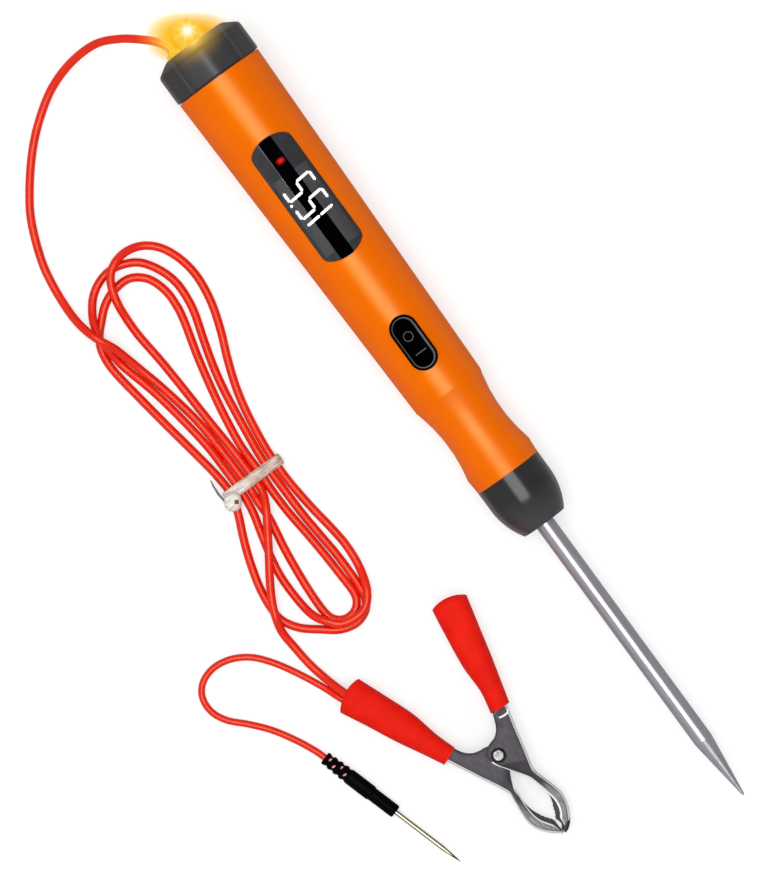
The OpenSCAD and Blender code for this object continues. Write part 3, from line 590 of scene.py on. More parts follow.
def thickened(shape, height):  # flat outlines made solid
    made = bmesh.ops.extrude_face_region(shape, geom=shape.faces[:])["geom"]
    top = [corner for corner in made if isinstance(corner, bmesh.types.BMVert)]
    bmesh.ops.translate(shape, verts=top, vec=(0, 0, height))


def turnedOver(shape):  # the clip's fixed half is drawn like the moving one
    for corner in shape.verts:
        corner.co.y *= -1


def toned(faces, index):  # faces with another of the piece's finishes
    for face in faces:
        face.material_index = index


def turns(sides, shift=0):  # the angles of a ring's corners
    return [2 * math.pi * (side + shift) / sides for side in range(sides)]


def squaredRing(sides, power):  # corners of a ring between a circle and a square
    return [[math.copysign(abs(part) ** (2 / power), part) for part in (math.cos(turn), math.sin(turn))]
            for turn in turns(sides)]


def smoothLine(points, steps):  # Catmull-Rom curve through the points
    ends = [2 * points[0] - points[1], *points, 2 * points[-1] - points[-2]]
    line = []
    for a, b, c, d in zip(ends, ends[1:], ends[2:], ends[3:]):
        for t in (step / steps for step in range(steps)):
            line.append((2 * b + (c - a) * t + (2 * a - 5 * b + 4 * c - d) * t ** 2
                         + (3 * b - a - 3 * c + d) * t ** 3) / 2)
    return line + [points[-1]]


def edgeLine(stations, start, steps):  # the smooth line through one pair of each station
    return smoothLine([Vector(station[start:start + 2]) for station in stations], steps)


def loftedSkin(shape, rings, closed=True, ends=()):  # quads between rings, and faces over the ends
    rows = [[shape.verts.new(point) for point in ring] for ring in rings]
    faces = []
    for low, high in zip(rows, rows[1:]):
        for i in range(len(low) - (0 if closed else 1)):
            j = (i + 1) % len(low)
            faces.append(shape.faces.new((low[i], low[j], high[j], high[i])))
    return faces + [shape.faces.new(rows[end]) for end in ends]


# Cap: ten soft facets between rounded edges

cap = {
    "facets": 10, "softness": 34, "sides": 120, "flat": 10.45, "corner": 10.92, "hole": 2.84,
    "profile": [(2.6, 0), (0.02, 0), (0, 5.2), (0, 6.6), (0.03, 7.2), (0.12, 7.62), (0.34, 8.1),
                (1.6, 10.22), (1.86, 10.6), (2.15, 10.82), (2.55, 10.92), (8.45, 10.92),
                (8.7, 10.86), (8.82, 10.7), (8.85, 10.4), (8.85, 9.95), (9.1, 9.95), (9.3, 8.25),
                (13, 8.25)],
}


def facetRing(x, corner):  # a circle for the lamp's hole where corner is 0
    ring = []
    for turn in turns(cap["sides"]):
        reach = cap["hole"]
        if corner:
            near = sum(max(0, math.cos(turn - facet)) ** cap["softness"]
                       for facet in turns(cap["facets"], 0.5))
            reach = cap["flat"] * near ** (-1 / cap["softness"]) * corner / cap["corner"]
        ring.append(Vector((x, reach * math.sin(turn), reach * math.cos(turn))))
    return ring


def roundedCap():
    shape = bmesh.new()
    loftedSkin(shape, [facetRing(*station) for station in cap["profile"]])
    pieceFrom("capShell", shape, ["cap"], "tool", "trim_plastic", stand="end_cap", sharp=50)


roundedCap()


# Display digits: lit bars on the face of the display module

digits = {
    "faceZ": 6.901, "thick": 0.04, "height": 7.2, "width": 2.5, "bar": 0.6, "gap": 0.06,
    "slant": 0.088, "fives": (36.72, 41.22), "one": 45.4, "dot": (40.35, -3.79), "dotSize": 0.66,
}


def litBar(shape, start, end):
    start, end = Vector(start), Vector(end)
    reach = (end - start).length - 2 * digits["gap"]
    bar = bmesh.ops.create_circle(shape, cap_ends=True, segments=6, radius=1)["verts"]
    for corner in bar:  # two of the six corners are the bar's points
        tip = abs(corner.co.x) < 0.1
        side = math.copysign(reach if tip else reach - digits["bar"], corner.co.y)
        across = 0 if tip else math.copysign(digits["bar"], corner.co.x)
        corner.co = (across / 2, side / 2, 0)
    turn = Matrix.Rotation(math.atan2(start.x - end.x, end.y - start.y), 3, "Z")
    bmesh.ops.rotate(shape, verts=bar, matrix=turn)
    bmesh.ops.translate(shape, verts=bar, vec=((start + end) / 2).to_3d())


def litDigits():
    shape = bmesh.new()
    top, right = digits["height"] / 2, digits["width"]
    corners = {"tl": (0, top), "tr": (right, top), "ml": (0, 0), "mr": (right, 0),
               "bl": (0, -top), "br": (right, -top)}
    strokes = [(x, stroke) for x in digits["fives"]
               for stroke in ("tl tr", "tl ml", "ml mr", "mr br", "bl br")]
    strokes += [(digits["one"], "tl ml"), (digits["one"], "ml bl")]
    for x, stroke in strokes:
        start, end = (corners[corner] for corner in stroke.split())
        litBar(shape, *[(x + p[0] - digits["slant"] * p[1], p[1]) for p in (start, end)])
    dot = bmesh.ops.create_circle(shape, cap_ends=True, segments=16, radius=digits["dotSize"] / 2)
    bmesh.ops.translate(shape, verts=dot["verts"], vec=(*digits["dot"], 0))
    thickened(shape, digits["thick"])
    bmesh.ops.translate(shape, verts=shape.verts, vec=(0, 0, digits["faceZ"]))
    pieceFrom("displayDigits", shape, ["digits"], "tool", "display_face", smooth=False)


litDigits()


# Switch: the rim and the rocker are rebuilt with their rounded edges

switch = {
    "x": 78.8, "pinZ": 6.8, "tilt": 5.0, "sides": 48,
    "rim": [(12.9, 5.9, 6.9), (13.2, 6.2, 7.2), (13.2, 6.2, 8.9), (13.1, 6.1, 9.02),
            (12.9, 5.9, 9.05), (12.3, 5.3, 9.05), (12.22, 5.22, 9.02), (11.6, 4.5, 8.84, -0.09),
            (11.4, 4.4, 8.74, -0.02), (11.36, 4.36, 8.6), (11.36, 4.36, 4.6)],
    "chamfer": (6, 7),
    "rocker": [(10.7, 4.2, -1.6), (10.7, 4.2, 2.25), (10.62, 4.12, 2.42), (10.4, 3.9, 2.53),
               (10.1, 3.6, 2.55)],
    "topFrom": 2, "dish": 41.0, "dishDepth": 0.35, "cuts": 20,
    "marks": {"o": (-1.9, -0.13), "oSize": 2.2, "oLine": 0.15, "oSides": 40, "i": (2.3, 0.16),
              "iLength": 2.7, "iLine": 0.17, "proud": 0.03},
}


def obroundRing(length, width, z, shift=0.0):
    ring = []
    for turn in turns(switch["sides"], 0.5):
        x, y = width / 2 * math.cos(turn), width / 2 * math.sin(turn)
        ring.append(Vector((x + math.copysign((length - width) / 2, x), y + shift, z)))
    return ring


def dishRise(x):
    return switch["dish"] - math.sqrt(switch["dish"] ** 2 - x * x) - switch["dishDepth"]


def dishTop(shape):
    for cut in range(1, switch["cuts"]):  # strips across the key, so that its top can curve
        x = switch["rocker"][0][0] * (cut / switch["cuts"] - 0.5)
        bmesh.ops.bisect_plane(shape, geom=shape.verts[:] + shape.edges[:] + shape.faces[:],
                               plane_co=(x, 0, 0), plane_no=(1, 0, 0))
    for corner in shape.verts:
        if corner.co.z > switch["topFrom"]:
            corner.co.z += dishRise(corner.co.x)


def switchRim():
    shape = bmesh.new()
    faces = loftedSkin(shape, [obroundRing(*loop) for loop in switch["rim"]], ends=(-1,))
    # painted highlight: the chamfer faces take the lighter grey finish
    first, last = switch["chamfer"]
    toned(faces[first * switch["sides"]:last * switch["sides"]], 1)
    bmesh.ops.translate(shape, verts=shape.verts, vec=(switch["x"], 0, 0))
    pieceFrom("switchRim", shape, ["switch", "bezel"], "tool", "switch_plastic",
              stand="switch_bezel", sharp=35)


rockerFrame = (toolFrame @ Matrix.Translation(Vector((switch["x"], 0, switch["pinZ"])) * mm)
               @ Matrix.Rotation(math.radians(switch["tilt"]), 4, "Y"))


def switchRocker():
    shape = bmesh.new()
    loftedSkin(shape, [obroundRing(*loop) for loop in switch["rocker"]], ends=(0, -1))
    dishTop(shape)
    pieceFrom("switchKey", shape, ["switch"], "rocker", "switch_plastic", rockerFrame, "switch_rocker")


def switchMarks():
    marks = switch["marks"]
    shape = bmesh.new()
    for inset in (0, marks["oLine"]):
        bmesh.ops.create_circle(shape, segments=marks["oSides"], radius=marks["oSize"] / 2 - inset)
    bmesh.ops.bridge_loops(shape, edges=shape.edges[:])
    bmesh.ops.translate(shape, verts=shape.verts, vec=(*marks["o"], 0))
    bar = bmesh.ops.create_grid(shape, x_segments=1, y_segments=6, size=0.5)["verts"]
    bmesh.ops.scale(shape, verts=bar, vec=(marks["iLine"], marks["iLength"], 1))
    bmesh.ops.translate(shape, verts=bar, vec=(*marks["i"], 0))
    thickened(shape, marks["proud"])
    for corner in shape.verts:
        corner.co.z += switch["rocker"][-1][2] + dishRise(corner.co.x)
    pieceFrom("switchMarks", shape, ["marks"], "rocker", "switch_plastic", rockerFrame, smooth=False)


switchRim()
switchRocker()
switchMarks()
print("display and switch dressed")


# Clip: bent-sheet jaws, drawn as sections from the back edge to the free edge

jaws = {
    "sheet": 0.55, "bend": 0.8, "bendSteps": 4, "bendRoom": 0.2, "bendShare": 0.45, "steps": 3,
    "rim": 0.15, "rimSteps": 2, "rimAngle": 50, "strip": 0.42, "stripShare": 0.3, "roll": 0.1,
    "tooth": 0.09, "toothFrom": 15.4, "toothTo": 20.2, "lipAlong": 0.6, "lipAside": (0.12, -0.36),
    # back edge and free edge of the upper cheek, station by station from handle to tip
    "moving": [
        (-27.5, 16.2, -27.5, 11.9), (-18, 12.8, -19.5, 9.3), (-10, 9.85, -12, 7.5),
        (-6.5, 8.6, -7, 5), (-4, 7.65, -4.9, 3.85), (-2, 6.9, -3.8, 2.9), (-0.5, 6.35, -3.1, 1.7),
        (0.8, 5.9, -2.9, 0.5), (2, 5.45, -2.5, -1), (3, 5.1, -1.5, -1.95), (4, 4.7, 0, -2.15),
        (5, 4.35, 1.4, -1.75), (5.9, 4, 2.8, -1), (6.7, 3.7, 4.1, -0.35), (7.4, 3.5, 5.4, 0.35),
        (8.3, 3.5, 6.6, 1), (9.4, 3.65, 7.9, 1.55), (11.1, 4, 9.6, 1.85), (13.2, 4.35, 11.6, 2.05),
        (14.9, 4.45, 13.6, 2.2), (16.6, 4.15, 15.3, 2.2), (18.2, 3.5, 16.7, 1.85),
        (19.6, 2.6, 17.9, 1.25), (20.7, 1.7, 18.8, 0.5), (21.4, 0.8, 19.7, 0.36),
        (21.85, -0.1, 20.5, 0), (21.9, -0.8, 21, -0.75),
    ],
    "fixed": [
        (-27.5, 16.2, -27.5, 11.9), (-18, 12.9, -19.5, 9.4), (-10, 10.15, -12, 7.9),
        (-6.5, 8.9, -7.3, 6), (-4, 8, -5.8, 5.4), (-2, 7.25, -4.6, 4.6), (-0.5, 6.7, -3.8, 3.6),
        (0.8, 6.25, -3.3, 2.4), (2, 5.8, -3, 1.1), (3, 5.4, -2.3, -0.2), (4, 5.05, -0.6, -1.2),
        (5, 4.7, 1.2, -1.3), (5.9, 4.4, 2.8, -0.6), (6.8, 4.1, 4.1, 0.35), (7.6, 3.9, 5.2, 1.1),
        (8.4, 3.95, 6.3, 1.8), (9.6, 4.2, 7.5, 2.45), (11.1, 4.55, 9, 2.5), (13, 4.95, 10.6, 2.8),
        (15, 5.15, 12.6, 3.1), (16.8, 4.85, 14.5, 3.15), (18.5, 4.05, 16.2, 2.85),
        (19.8, 3.1, 17.6, 2.2), (20.8, 2.2, 18.9, 1.55), (21.4, 1.5, 20.2, 1.35),
        (21.6, 1.3, 21.3, 1.25),
    ],
    # the section where the bright strip starts, and the limits of the faces with their own tone
    "stripFrom": {"moving": 20, "fixed": 27}, "tipFrom": {"moving": 20.4, "fixed": 22},
    "roundTo": (0, 5.2), "insideTo": -0.3, "bent": (0.2, 0.85),
    # how far the lower cheek's free edge stands inside the upper one's
    "movingLip": [(12.5, 0), (14, 0.2), (15.4, 0.75), (16.6, 1.2), (18.8, 1.2), (20, 1), (21, 0.5)],
    "fixedLip": [(11, 0), (12.6, 0.3), (14.5, 0.75), (16.2, 1.15), (17.6, 1.25), (18.9, 1.35),
                 (20.2, 1.1), (21, 0.7)],
    "movingHeight": [(-28, 2.6), (-8, 2.6), (-3, 3.1), (5, 3.1), (12, 1.8), (22, 1.5)],
    "fixedHeight": [(-28, 2.4), (5, 2.4), (12, 1.8), (22, 1.5)],
}


def read(table, x):  # value of a table of (x, value) at x
    if x <= table[0][0]:
        return table[0][1]
    for (left, low), (right, high) in zip(table, table[1:]):
        if x <= right:
            return low + (high - low) * (x - left) / (right - left)
    return table[-1][1]


def jawSection(half, index, back, free):
    height = read(jaws[half + "Height"], back.x)
    width, down = (free - back).length, (free - back).normalized()
    bend, steps = min(jaws["bend"], height - jaws["bendRoom"]), jaws["bendSteps"]
    inward = down * min(bend, width * jaws["bendShare"])
    lip = read(jaws[half + "Lip"], free.x)
    if jaws["toothFrom"] < free.x < jaws["toothTo"]:
        lip += jaws["tooth"] * (-1) ** index
    low = free + down * jaws["lipAlong"] * lip + Vector(jaws["lipAside"]) * lip
    arc = [(back + inward * (1 - math.cos(turn)), height - bend * (1 - math.sin(turn)))
           for turn in (math.pi / 2 * k / steps for k in range(steps, -1, -1))]
    strip = min(jaws["strip"], width * jaws["stripShare"])
    upper = [(free, height - jaws["roll"]), (free - down * strip, height), *arc]
    lower = [(place, -z) for place, z in reversed(arc)] + [(low, -height)]
    return [Vector((*place, z)) for place, z in upper + lower]


def jawPiece(name, half, node, body):
    shape = bmesh.new()
    backs, frees = (edgeLine(jaws[half], start, jaws["steps"]) for start in (0, 2))
    sections = [jawSection(half, i, *pair) for i, pair in enumerate(zip(backs, frees))]
    faces, across = loftedSkin(shape, sections, closed=False), len(sections[0]) - 1
    toned(faces[jaws["stripFrom"][half] * across::across], 1)  # painted highlight: the upper cheek's free edge takes the bright finish
    bmesh.ops.recalc_face_normals(shape, faces=shape.faces)
    outward = sum((1 if face.normal.z * face.calc_center_median().z > 0 else -1) * face.calc_area()
                  for face in shape.faces)
    if outward < 0:
        bmesh.ops.reverse_faces(shape, faces=shape.faces)
    # painted highlight: faces tilted along the bend take the bright finish
    low, high = jaws["bent"]
    toned([face for face in shape.faces if low < abs(face.normal.z) < high], 1)
    bmesh.ops.solidify(shape, geom=shape.faces[:], thickness=jaws["sheet"])
    rims = [edge for edge in shape.edges if len(edge.link_faces) == 2
            and edge.calc_face_angle(0) > math.radians(jaws["rimAngle"])]
    # painted highlight: the rounded rims take the bright finish too
    bmesh.ops.bevel(shape, geom=rims, offset=jaws["rim"], segments=jaws["rimSteps"],
                    profile=0.5, affect="EDGES", clamp_overlap=True, material=1)
    shape.normal_update()
    for face in shape.faces:  # dark: the round end keeps the plain finish, the tip and the lower cheek's inside take the darker one, which on the inside is painted shade
        middle = face.calc_center_median()
        if middle.x < jaws["roundTo"][0] and middle.y < jaws["roundTo"][1]:
            face.material_index = 0
        elif middle.x > jaws["tipFrom"][half] or middle.z < jaws["insideTo"] < face.normal.z:
            face.material_index = 2
    if half == "fixed":
        turnedOver(shape)
    pieceFrom(name, shape, ["clip", "rim", "inside"], body, "clip_steel", clipFrame, node, sharp=40)


jawPiece("jawMoving", "moving", "clip_moving_jaw", "clip_half")
jawPiece("jawFixed", "fixed", "clip_fixed_jaw", "tool")


# Sleeves: inner edge, outer edge and half height at stations from the front to the open rear

sleeves = {
    "sides": 40, "power": 2.7, "steps": 6, "wall": 0.9, "arch": 0.9, "solidRows": 8, "lip": 0.25,
    "moving": [
        (-7.5, 4.85, -6.6, 9.4, 3.2), (-12.5, 6.45, -11.3, 11.3, 3.4), (-18.6, 7.2, -16.8, 13.5, 3.5),
        (-25.6, 8.9, -23.2, 15.9, 3.55), (-32.1, 10.7, -29.5, 18.3, 3.5),
    ],
    "fixed": [
        (-7.5, 5.75, -6.3, 9.9, 3.2), (-12.5, 6.7, -11.3, 11.8, 3.4), (-18.6, 7.3, -16.8, 14, 3.5),
        (-25.6, 9, -23.2, 16.2, 3.6), (-32.1, 10.7, -29.5, 18.5, 3.55),
    ],
}


def sleeveRing(inner, outer, height, wall, arch):
    middle, across = (inner + outer) / 2, outer - inner
    half = across / 2 * (1 - 2 * wall / across.length)
    rear = Vector((-across.y, across.x)).normalized() * (1 if across.y > 0 else -1)
    ring = []
    for x, z in squaredRing(sleeves["sides"], sleeves["power"]):
        place = middle + half * x + rear * arch * (1 - x * x)
        ring.append(Vector((*place, z * (height - wall))))
    return ring


def sleevePiece(name, half, node, body):
    steps = sleeves["steps"]
    inner, outer = (edgeLine(sleeves[half], start, steps) for start in (0, 2))
    rows = list(zip(inner, outer, smoothLine([station[-1] for station in sleeves[half]], steps)))
    last = len(rows) - 1
    arch = [sleeves["arch"] * max(0, 1 - (last - i) / steps) ** 2 for i in range(len(rows))]
    wall, lip = sleeves["wall"], sleeves["lip"]
    rings = [sleeveRing(*rows[0], lip, 0)]
    rings += [sleeveRing(*row, 0, bulge) for row, bulge in zip(rows, arch)]
    rear = (rows[-1][0] - rows[-2][0]).normalized() * lip
    for inset in (lip, wall - lip):
        rings.append([point + rear.to_3d() for point in sleeveRing(*rows[-1], inset, arch[-1])])
    hollow = list(zip(rows, arch))[sleeves["solidRows"]:]
    rings += [sleeveRing(*row, wall, bulge) for row, bulge in reversed(hollow)]
    shape = bmesh.new()
    loftedSkin(shape, rings, ends=(0, -1))
    if half == "fixed":
        turnedOver(shape)
    pieceFrom(name, shape, ["sleeve"], body, "sleeve_vinyl", clipFrame, node, sharp=50)


sleevePiece("sleeveMoving", "moving", "clip_sleeve_moving", "clip_half")
sleevePiece("sleeveFixed", "fixed", "clip_sleeve_fixed", "tool")


# Rivet, spring and the small crimped tab before the moving sleeve

rivet = {
    "sides": 40,
    "head": [(2.1, 2.6), (2.5, 3.12), (2.6, 3.3), (2.46, 3.46), (2.1, 3.56), (1.4, 3.52), (0.6, 3.46)],
    "seat": [(3.5, 3.0), (3.44, 3.14), (3.25, 3.18), (3, 3.18), (2.8, 3.12), (2.6, 3.1)],
    "wire": 0.3, "coil": 1.75, "turns": 4, "rise": 1.3, "leg": (-10, 8.7), "coilSteps": 18,
    "wireRoundness": 3, "tabProud": 0.12, "tabSteps": 4, "plateProud": 0.05, "plateThick": 0.2,
    "tab": [(-5.72, 5.6), (-5.5, 6.4), (-5.35, 7.2), (-5.4, 7.75), (-5.9, 8.15)], "tabWire": 0.28,
    "tabPlate": [(-7.2, 5.2), (-5.8, 5.6), (-5.45, 7.5), (-7, 8.2)],
}


def rivetPiece(name, profile, finish, closed, stand=None):
    shape = bmesh.new()
    for side in (1, -1):  # over the upper cheek and under the lower one
        rings = []
        for width, z in profile:
            ring = bmesh.ops.create_circle(shape, segments=rivet["sides"], radius=width / 2)["verts"]
            bmesh.ops.translate(shape, verts=ring, vec=(0, 0, z * side))
            rings.append(list({edge for corner in ring for edge in corner.link_edges}))
        for low, high in zip(rings, rings[1:]):
            bmesh.ops.bridge_loops(shape, edges=low + high)
        if closed:
            bmesh.ops.edgeloop_fill(shape, edges=rings[-1])
    pieceFrom(name, shape, [finish], "tool", "rivet_steel", clipFrame, stand, sharp=50)


def wirePiece(name, points, radius, finish, body, slotName, *stands):
    curve, knots = roundCurve(name, "POLY", len(points), radius, rivet["wireRoundness"], finish)
    for knot, point in zip(knots, points):
        knot.co = (*(clipFrame @ (Vector(point) * mm)), 1)
    dressed(name, curve, body, slotName, *stands)


rivetPiece("rivetHeads", rivet["head"], "rivet", True, "clip_pivot")
# painted shade: a dark ring round each rivet head
rivetPiece("paintedShadeSteel", rivet["seat"], "seat", False)


def springWire():  # the free leg moves with the half that it presses on
    reach, rise, (legX, legY) = rivet["coil"], rivet["rise"], rivet["leg"]
    steps = rivet["turns"] * rivet["coilSteps"]
    sweep = 2 * math.pi * rivet["turns"] + math.pi / 2
    coil = []
    for step in range(steps + 1):
        angle = sweep * step / steps - math.pi / 4
        coil.append((reach * math.cos(angle), reach * math.sin(angle), rise * (2 * step / steps - 1)))
    wirePiece("springCoil", [(legX, -legY, -rise), *coil], rivet["wire"], "rivet", "tool",
              "rivet_steel", "clip_spring")
    wirePiece("springLeg", [*coil[-rivet["coilSteps"] // 4:], (legX, legY, rise)], rivet["wire"],
              "rivet", "clip_half", "rivet_steel")


def onMovingCheek(point, proud):
    return Vector((*point, read(jaws["movingHeight"], point[0]) + proud))


def crimpedTab():
    tab = [onMovingCheek(point, rivet["tabProud"]) for point in rivet["tab"]]
    # painted highlight: the tab's wire takes the bright finish
    wirePiece("crimpTab", smoothLine(tab, rivet["tabSteps"]), rivet["tabWire"], "rim", "clip_half",
              "clip_steel")
    # painted shade: a thin dark plate under the tab stands for the shade of the step behind it
    shape = bmesh.new()
    shape.faces.new([shape.verts.new(onMovingCheek(point, rivet["plateProud"]))
                     for point in rivet["tabPlate"]])
    thickened(shape, -rivet["plateThick"])
    pieceFrom("crimpShade", shape, ["seat"], "clip_half", "clip_steel", clipFrame, smooth=False)


springWire()
crimpedTab()
print("clip dressed")


# Tie: a soft clear strap round the bundle, its rounded head and its tail

tie = {
    "x": -14.3, "low": (-51.55, 0.42), "high": (-37.5, 3.22), "corner": 1.0, "cornerSteps": 5,
    "width": 2.6, "thick": 0.82, "sides": 20, "power": 2.6,
    "head": (-12.85, -51, 2.75), "headSize": (3.7, 4.2), "headTurn": 54, "headSides": 48,
    "headRise": [(0.86, 0), (0.97, 0.2), (1, 0.6), (1, 1.4), (0.96, 1.8), (0.84, 2.1), (0.6, 2.2)],
    "hole": (0.85, -0.1), "holeSize": 0.9, "holeProud": 0.01, "tailSides": 12,
    "tail": [(-13.8, -52.4, 1.7, 0.5, 2.2), (-16, -52.6, 1.7, 0.5, 2.1), (-18, -52.45, 1.6, 0.4, 1.7),
             (-19.4, -52.2, 1.5, 0.2, 1)],
}


def softRing(centre, across, rise, width, thick, sides):
    return [centre + across * (x * width / 2) + rise * (z * thick / 2)
            for x, z in squaredRing(sides, tie["power"])]


def tieLoop(shape):
    (lowY, lowZ), (highY, highZ), corner = tie["low"], tie["high"], tie["corner"]
    corners = [(highY - corner, highZ - corner), (lowY + corner, highZ - corner),
               (lowY + corner, lowZ + corner), (highY - corner, lowZ + corner)]
    rings = []
    for quarter, (y, z) in enumerate(corners):
        for step in range(tie["cornerSteps"] + 1):
            turn = math.pi / 2 * (quarter + step / tie["cornerSteps"])
            outward = Vector((0, math.cos(turn), math.sin(turn)))
            rings.append(softRing(Vector((tie["x"], y, z)) + outward * corner, Vector((1, 0, 0)),
                                  outward, tie["width"], tie["thick"], tie["sides"]))
    loftedSkin(shape, rings + rings[:1])
    bmesh.ops.remove_doubles(shape, verts=shape.verts, dist=0.0005)


def tieHead(shape):
    turn = Matrix.Rotation(math.radians(tie["headTurn"]), 3, "Z")
    along, across, upward = (turn @ Vector(way) for way in ((1, 0, 0), (0, 1, 0), (0, 0, 1)))
    base, (wide, long) = Vector(tie["head"]), tie["headSize"]
    loftedSkin(shape, [
        softRing(base + upward * rise, along, across, wide * grow, long * grow, tie["headSides"])
        for grow, rise in tie["headRise"]], ends=(-1, 0))
    # painted shade: a flat dark red face on the head stands for its shaded hole with the lead in it
    (x, y), size = tie["hole"], tie["holeSize"] / 2
    top = base + along * x + across * y + upward * (tie["headRise"][-1][1] + tie["holeProud"])
    hole = shape.faces.new([shape.verts.new(top + along * a * size + across * b * size)
                            for a, b in ((-1, -1), (1, -1), (1, 1), (-1, 1))])
    hole.material_index = 1


def tieTail(shape):
    rings = [softRing(Vector((x, y, z)), Vector((0, 1, 0)), Vector((0, 0, 1)), width, tall,
                      tie["tailSides"]) for x, y, z, width, tall in tie["tail"]]
    toned(loftedSkin(shape, rings, ends=(-1,)), 2)


def tiePiece():
    shape = bmesh.new()
    tieLoop(shape)
    tieHead(shape)
    tieTail(shape)
    pieceFrom("tieStrap", shape, ["tie", "tieHoleShade", "tail"], "tool", "tie_nylon", Matrix(),
              "hank_tie", sharp=50)


tiePiece()


# Boot: soft ribs with the short lead showing in four slots, painted pale there as a highlight

boot = {
    "sides": 40,
    "profile": [(0, 0.7), (0, 1.25), (0.15, 1.4), (0.45, 1.46), (0.8, 1.4), (1, 1.26), (1.25, 1.18),
                (1.5, 1.26), (1.7, 1.46), (2, 1.54), (2.35, 1.46), (2.55, 1.32), (2.8, 1.24),
                (3.05, 1.32), (3.25, 1.52), (3.55, 1.6), (3.9, 1.54), (4.1, 1.38), (4.35, 1.3),
                (4.6, 1.38), (4.8, 1.58), (5.1, 1.66), (5.45, 1.6), (5.65, 1.46), (5.9, 1.38),
                (6.15, 1.46), (6.4, 1.62), (6.8, 1.68), (12.2, 1.68), (12.45, 1.64), (12.7, 1.5),
                (13, 1.48), (18.7, 1.48), (18.95, 1.42), (19.1, 1.25), (19.1, 0.35)],
    "slots": [(1.2, 0.42, 1.14), (2.65, -0.3, 1.24), (4.1, 0.5, 1.24), (5.55, -0.25, 1.42)],
    "slotSize": (0.26, 0.46, 0.2), "slotTurn": -22,
}


def bootPiece():
    shape = bmesh.new()
    line = [shape.verts.new((x, reach, 0)) for x, reach in boot["profile"]]
    edges = [shape.edges.new(pair) for pair in zip(line, line[1:])]
    bmesh.ops.spin(shape, geom=line + edges, axis=(1, 0, 0), angle=2 * math.pi,
                   steps=boot["sides"], use_merge=True)
    turn = Matrix.Rotation(math.radians(boot["slotTurn"]), 4, "Z")
    for slot in boot["slots"]:
        place = Matrix.Translation(slot) @ turn @ Matrix.Diagonal((*boot["slotSize"], 1))
        made = bmesh.ops.create_uvsphere(shape, u_segments=16, v_segments=10, radius=1, matrix=place)
        # the slot faces take the pale finish, a painted highlight
        toned({face for corner in made["verts"] for face in corner.link_faces}, 1)
    pieceFrom("needleBoot", shape, ["boot", "glimpse"], "tool", "boot_vinyl", bootFrame,
              "needle_boot", sharp=60)


bootPiece()
print("tie and boot dressed")


# Stage: a white table under one large soft box, in a room that is lighter on the key's side, with a pool
# of the lamp's light painted on the table

stage = {
    "reach": 3.0, "topWidth": 1.42, "topLength": 1.6, "topHeight": 2.2, "topShift": -0.17,
    "topPower": 26.0, "roomLight": 0.64, "roomShade": 0.42, "lampPower": 0.0012,
    "glow": (10.2, 6.1), "glowDrop": 0.7, "glowSquare": 2.6, "paper": 0.55, "paperGlow": 0.55,
    "lampAt": (-7.5, 0, 1), "lampSize": 2.2, "lampColour": (1, 0.72, 0.2),
}
view = {"lens": 300, "middle": (-4.4, -17.2), "height": 187.2, "level": 8.5, "up": (-0.8070, 0.5906),
        "range": (0.05, 20)}


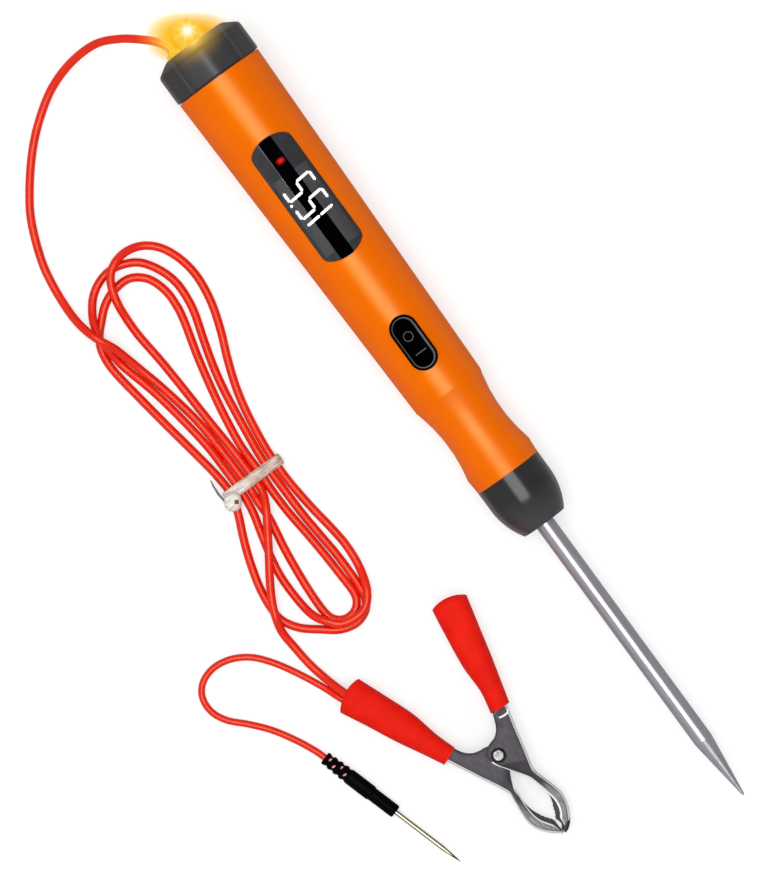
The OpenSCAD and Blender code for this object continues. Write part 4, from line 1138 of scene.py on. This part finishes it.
def tableTop():
    shape = bmesh.new()
    bmesh.ops.create_grid(shape, x_segments=1, y_segments=1, size=stage["reach"])
    mesh = bpy.data.meshes.new("tableTop")
    shape.to_mesh(mesh)
    shape.free()
    table = added("tableTop", mesh)
    paper = Finish("tablePaper", Roughness=0.9, Specular_IOR_Level=0.0)
    turn = math.atan2(*view["up"])  # the painted pool of lamp light is wider across the view than down it
    across, down, _ = paper.centred(lampCore, turn)
    width, height = stage["glow"]
    across, down = across / (width * mm), (down + stage["glowDrop"] * mm) / (height * mm)
    square = stage["glowSquare"]
    away = (abs(across) ** square + abs(down) ** square) ** (1 / square)
    # painted light: a pool of the lamp's light in the table's colour and its glow
    paintedLampPool = paper.ramp(away, [
        (0.0, srgb(250, 190, 44)), (0.46, srgb(250, 190, 48)), (0.62, srgb(252, 206, 104)),
        (0.78, srgb(252, 228, 178)), (0.94, (1, 1, 1))])
    paper.set("Base Color", paper.blend(1 - stage["paper"], paintedLampPool, (0, 0, 0)))
    direct, through = (paper.node("ShaderNodeLightPath", output=kind)
                       for kind in ("Is Camera Ray", "Is Transmission Ray"))
    seen = (direct + through).least(1.0)
    glow = paper.node("ShaderNodeEmission", None, {0: paintedLampPool, 1: stage["paperGlow"] * seen})
    both = paper.node("ShaderNodeAddShader", None,
                      {0: Wire(paper, paper.shader.outputs[0]), 1: glow})
    out = paper.tree.nodes["Material Output"]
    paper.tree.links.new(both.socket, out.inputs["Surface"])
    table.data.materials.append(paper.material)


def room():
    world = bpy.data.worlds.new("room")
    scene.world = world
    world.use_nodes = True
    tree = world.node_tree
    where = tree.nodes.new("ShaderNodeTexCoord")
    split = tree.nodes.new("ShaderNodeSeparateXYZ")
    ramp = tree.nodes.new("ShaderNodeMapRange")
    tree.links.new(where.outputs["Generated"], split.inputs[0])
    tree.links.new(split.outputs[1], ramp.inputs[0])
    for socket, value in zip(ramp.inputs[1:5], (-1, 1, stage["roomLight"], stage["roomShade"])):
        socket.default_value = value
    tree.links.new(ramp.outputs[0], tree.nodes["Background"].inputs[0])


def softBox(name, place, size, power):
    light = bpy.data.lights.new(name, "AREA")
    light.shape = "RECTANGLE"
    light.size, light.size_y = size
    light.energy = power
    box = added(name, light)
    box.location = place
    box.rotation_euler = (-math.atan2(place[1], place[2]), 0, 0)


def warmLamp():
    light = bpy.data.lights.new("lampLight", "POINT")
    light.energy = stage["lampPower"]
    light.color = stage["lampColour"]
    light.shadow_soft_size = stage["lampSize"] * mm
    added("lampLight", light).location = toolFrame @ (Vector(stage["lampAt"]) * mm)


def camera():
    data = bpy.data.cameras.new("camera")
    data.lens = view["lens"]
    data.clip_start, data.clip_end = view["range"]
    eye = added("camera", data)
    up = Vector((*view["up"], 0)).normalized()
    right = up.cross(Vector((0, 0, 1)))
    away = view["height"] * mm * view["lens"] / data.sensor_width
    turn = Matrix((right, up, (0, 0, 1))).transposed().to_4x4()
    centre = Vector((*view["middle"], view["level"])) * mm
    eye.matrix_world = Matrix.Translation(centre + Vector((0, 0, away))) @ turn
    scene.camera = eye


tableTop()
room()
softBox("topBox", (0, stage["topShift"], stage["topHeight"]), (stage["topLength"], stage["topWidth"]),
        stage["topPower"])
warmLamp()
camera()
scene.view_settings.view_transform = "Standard"
print("stage set")
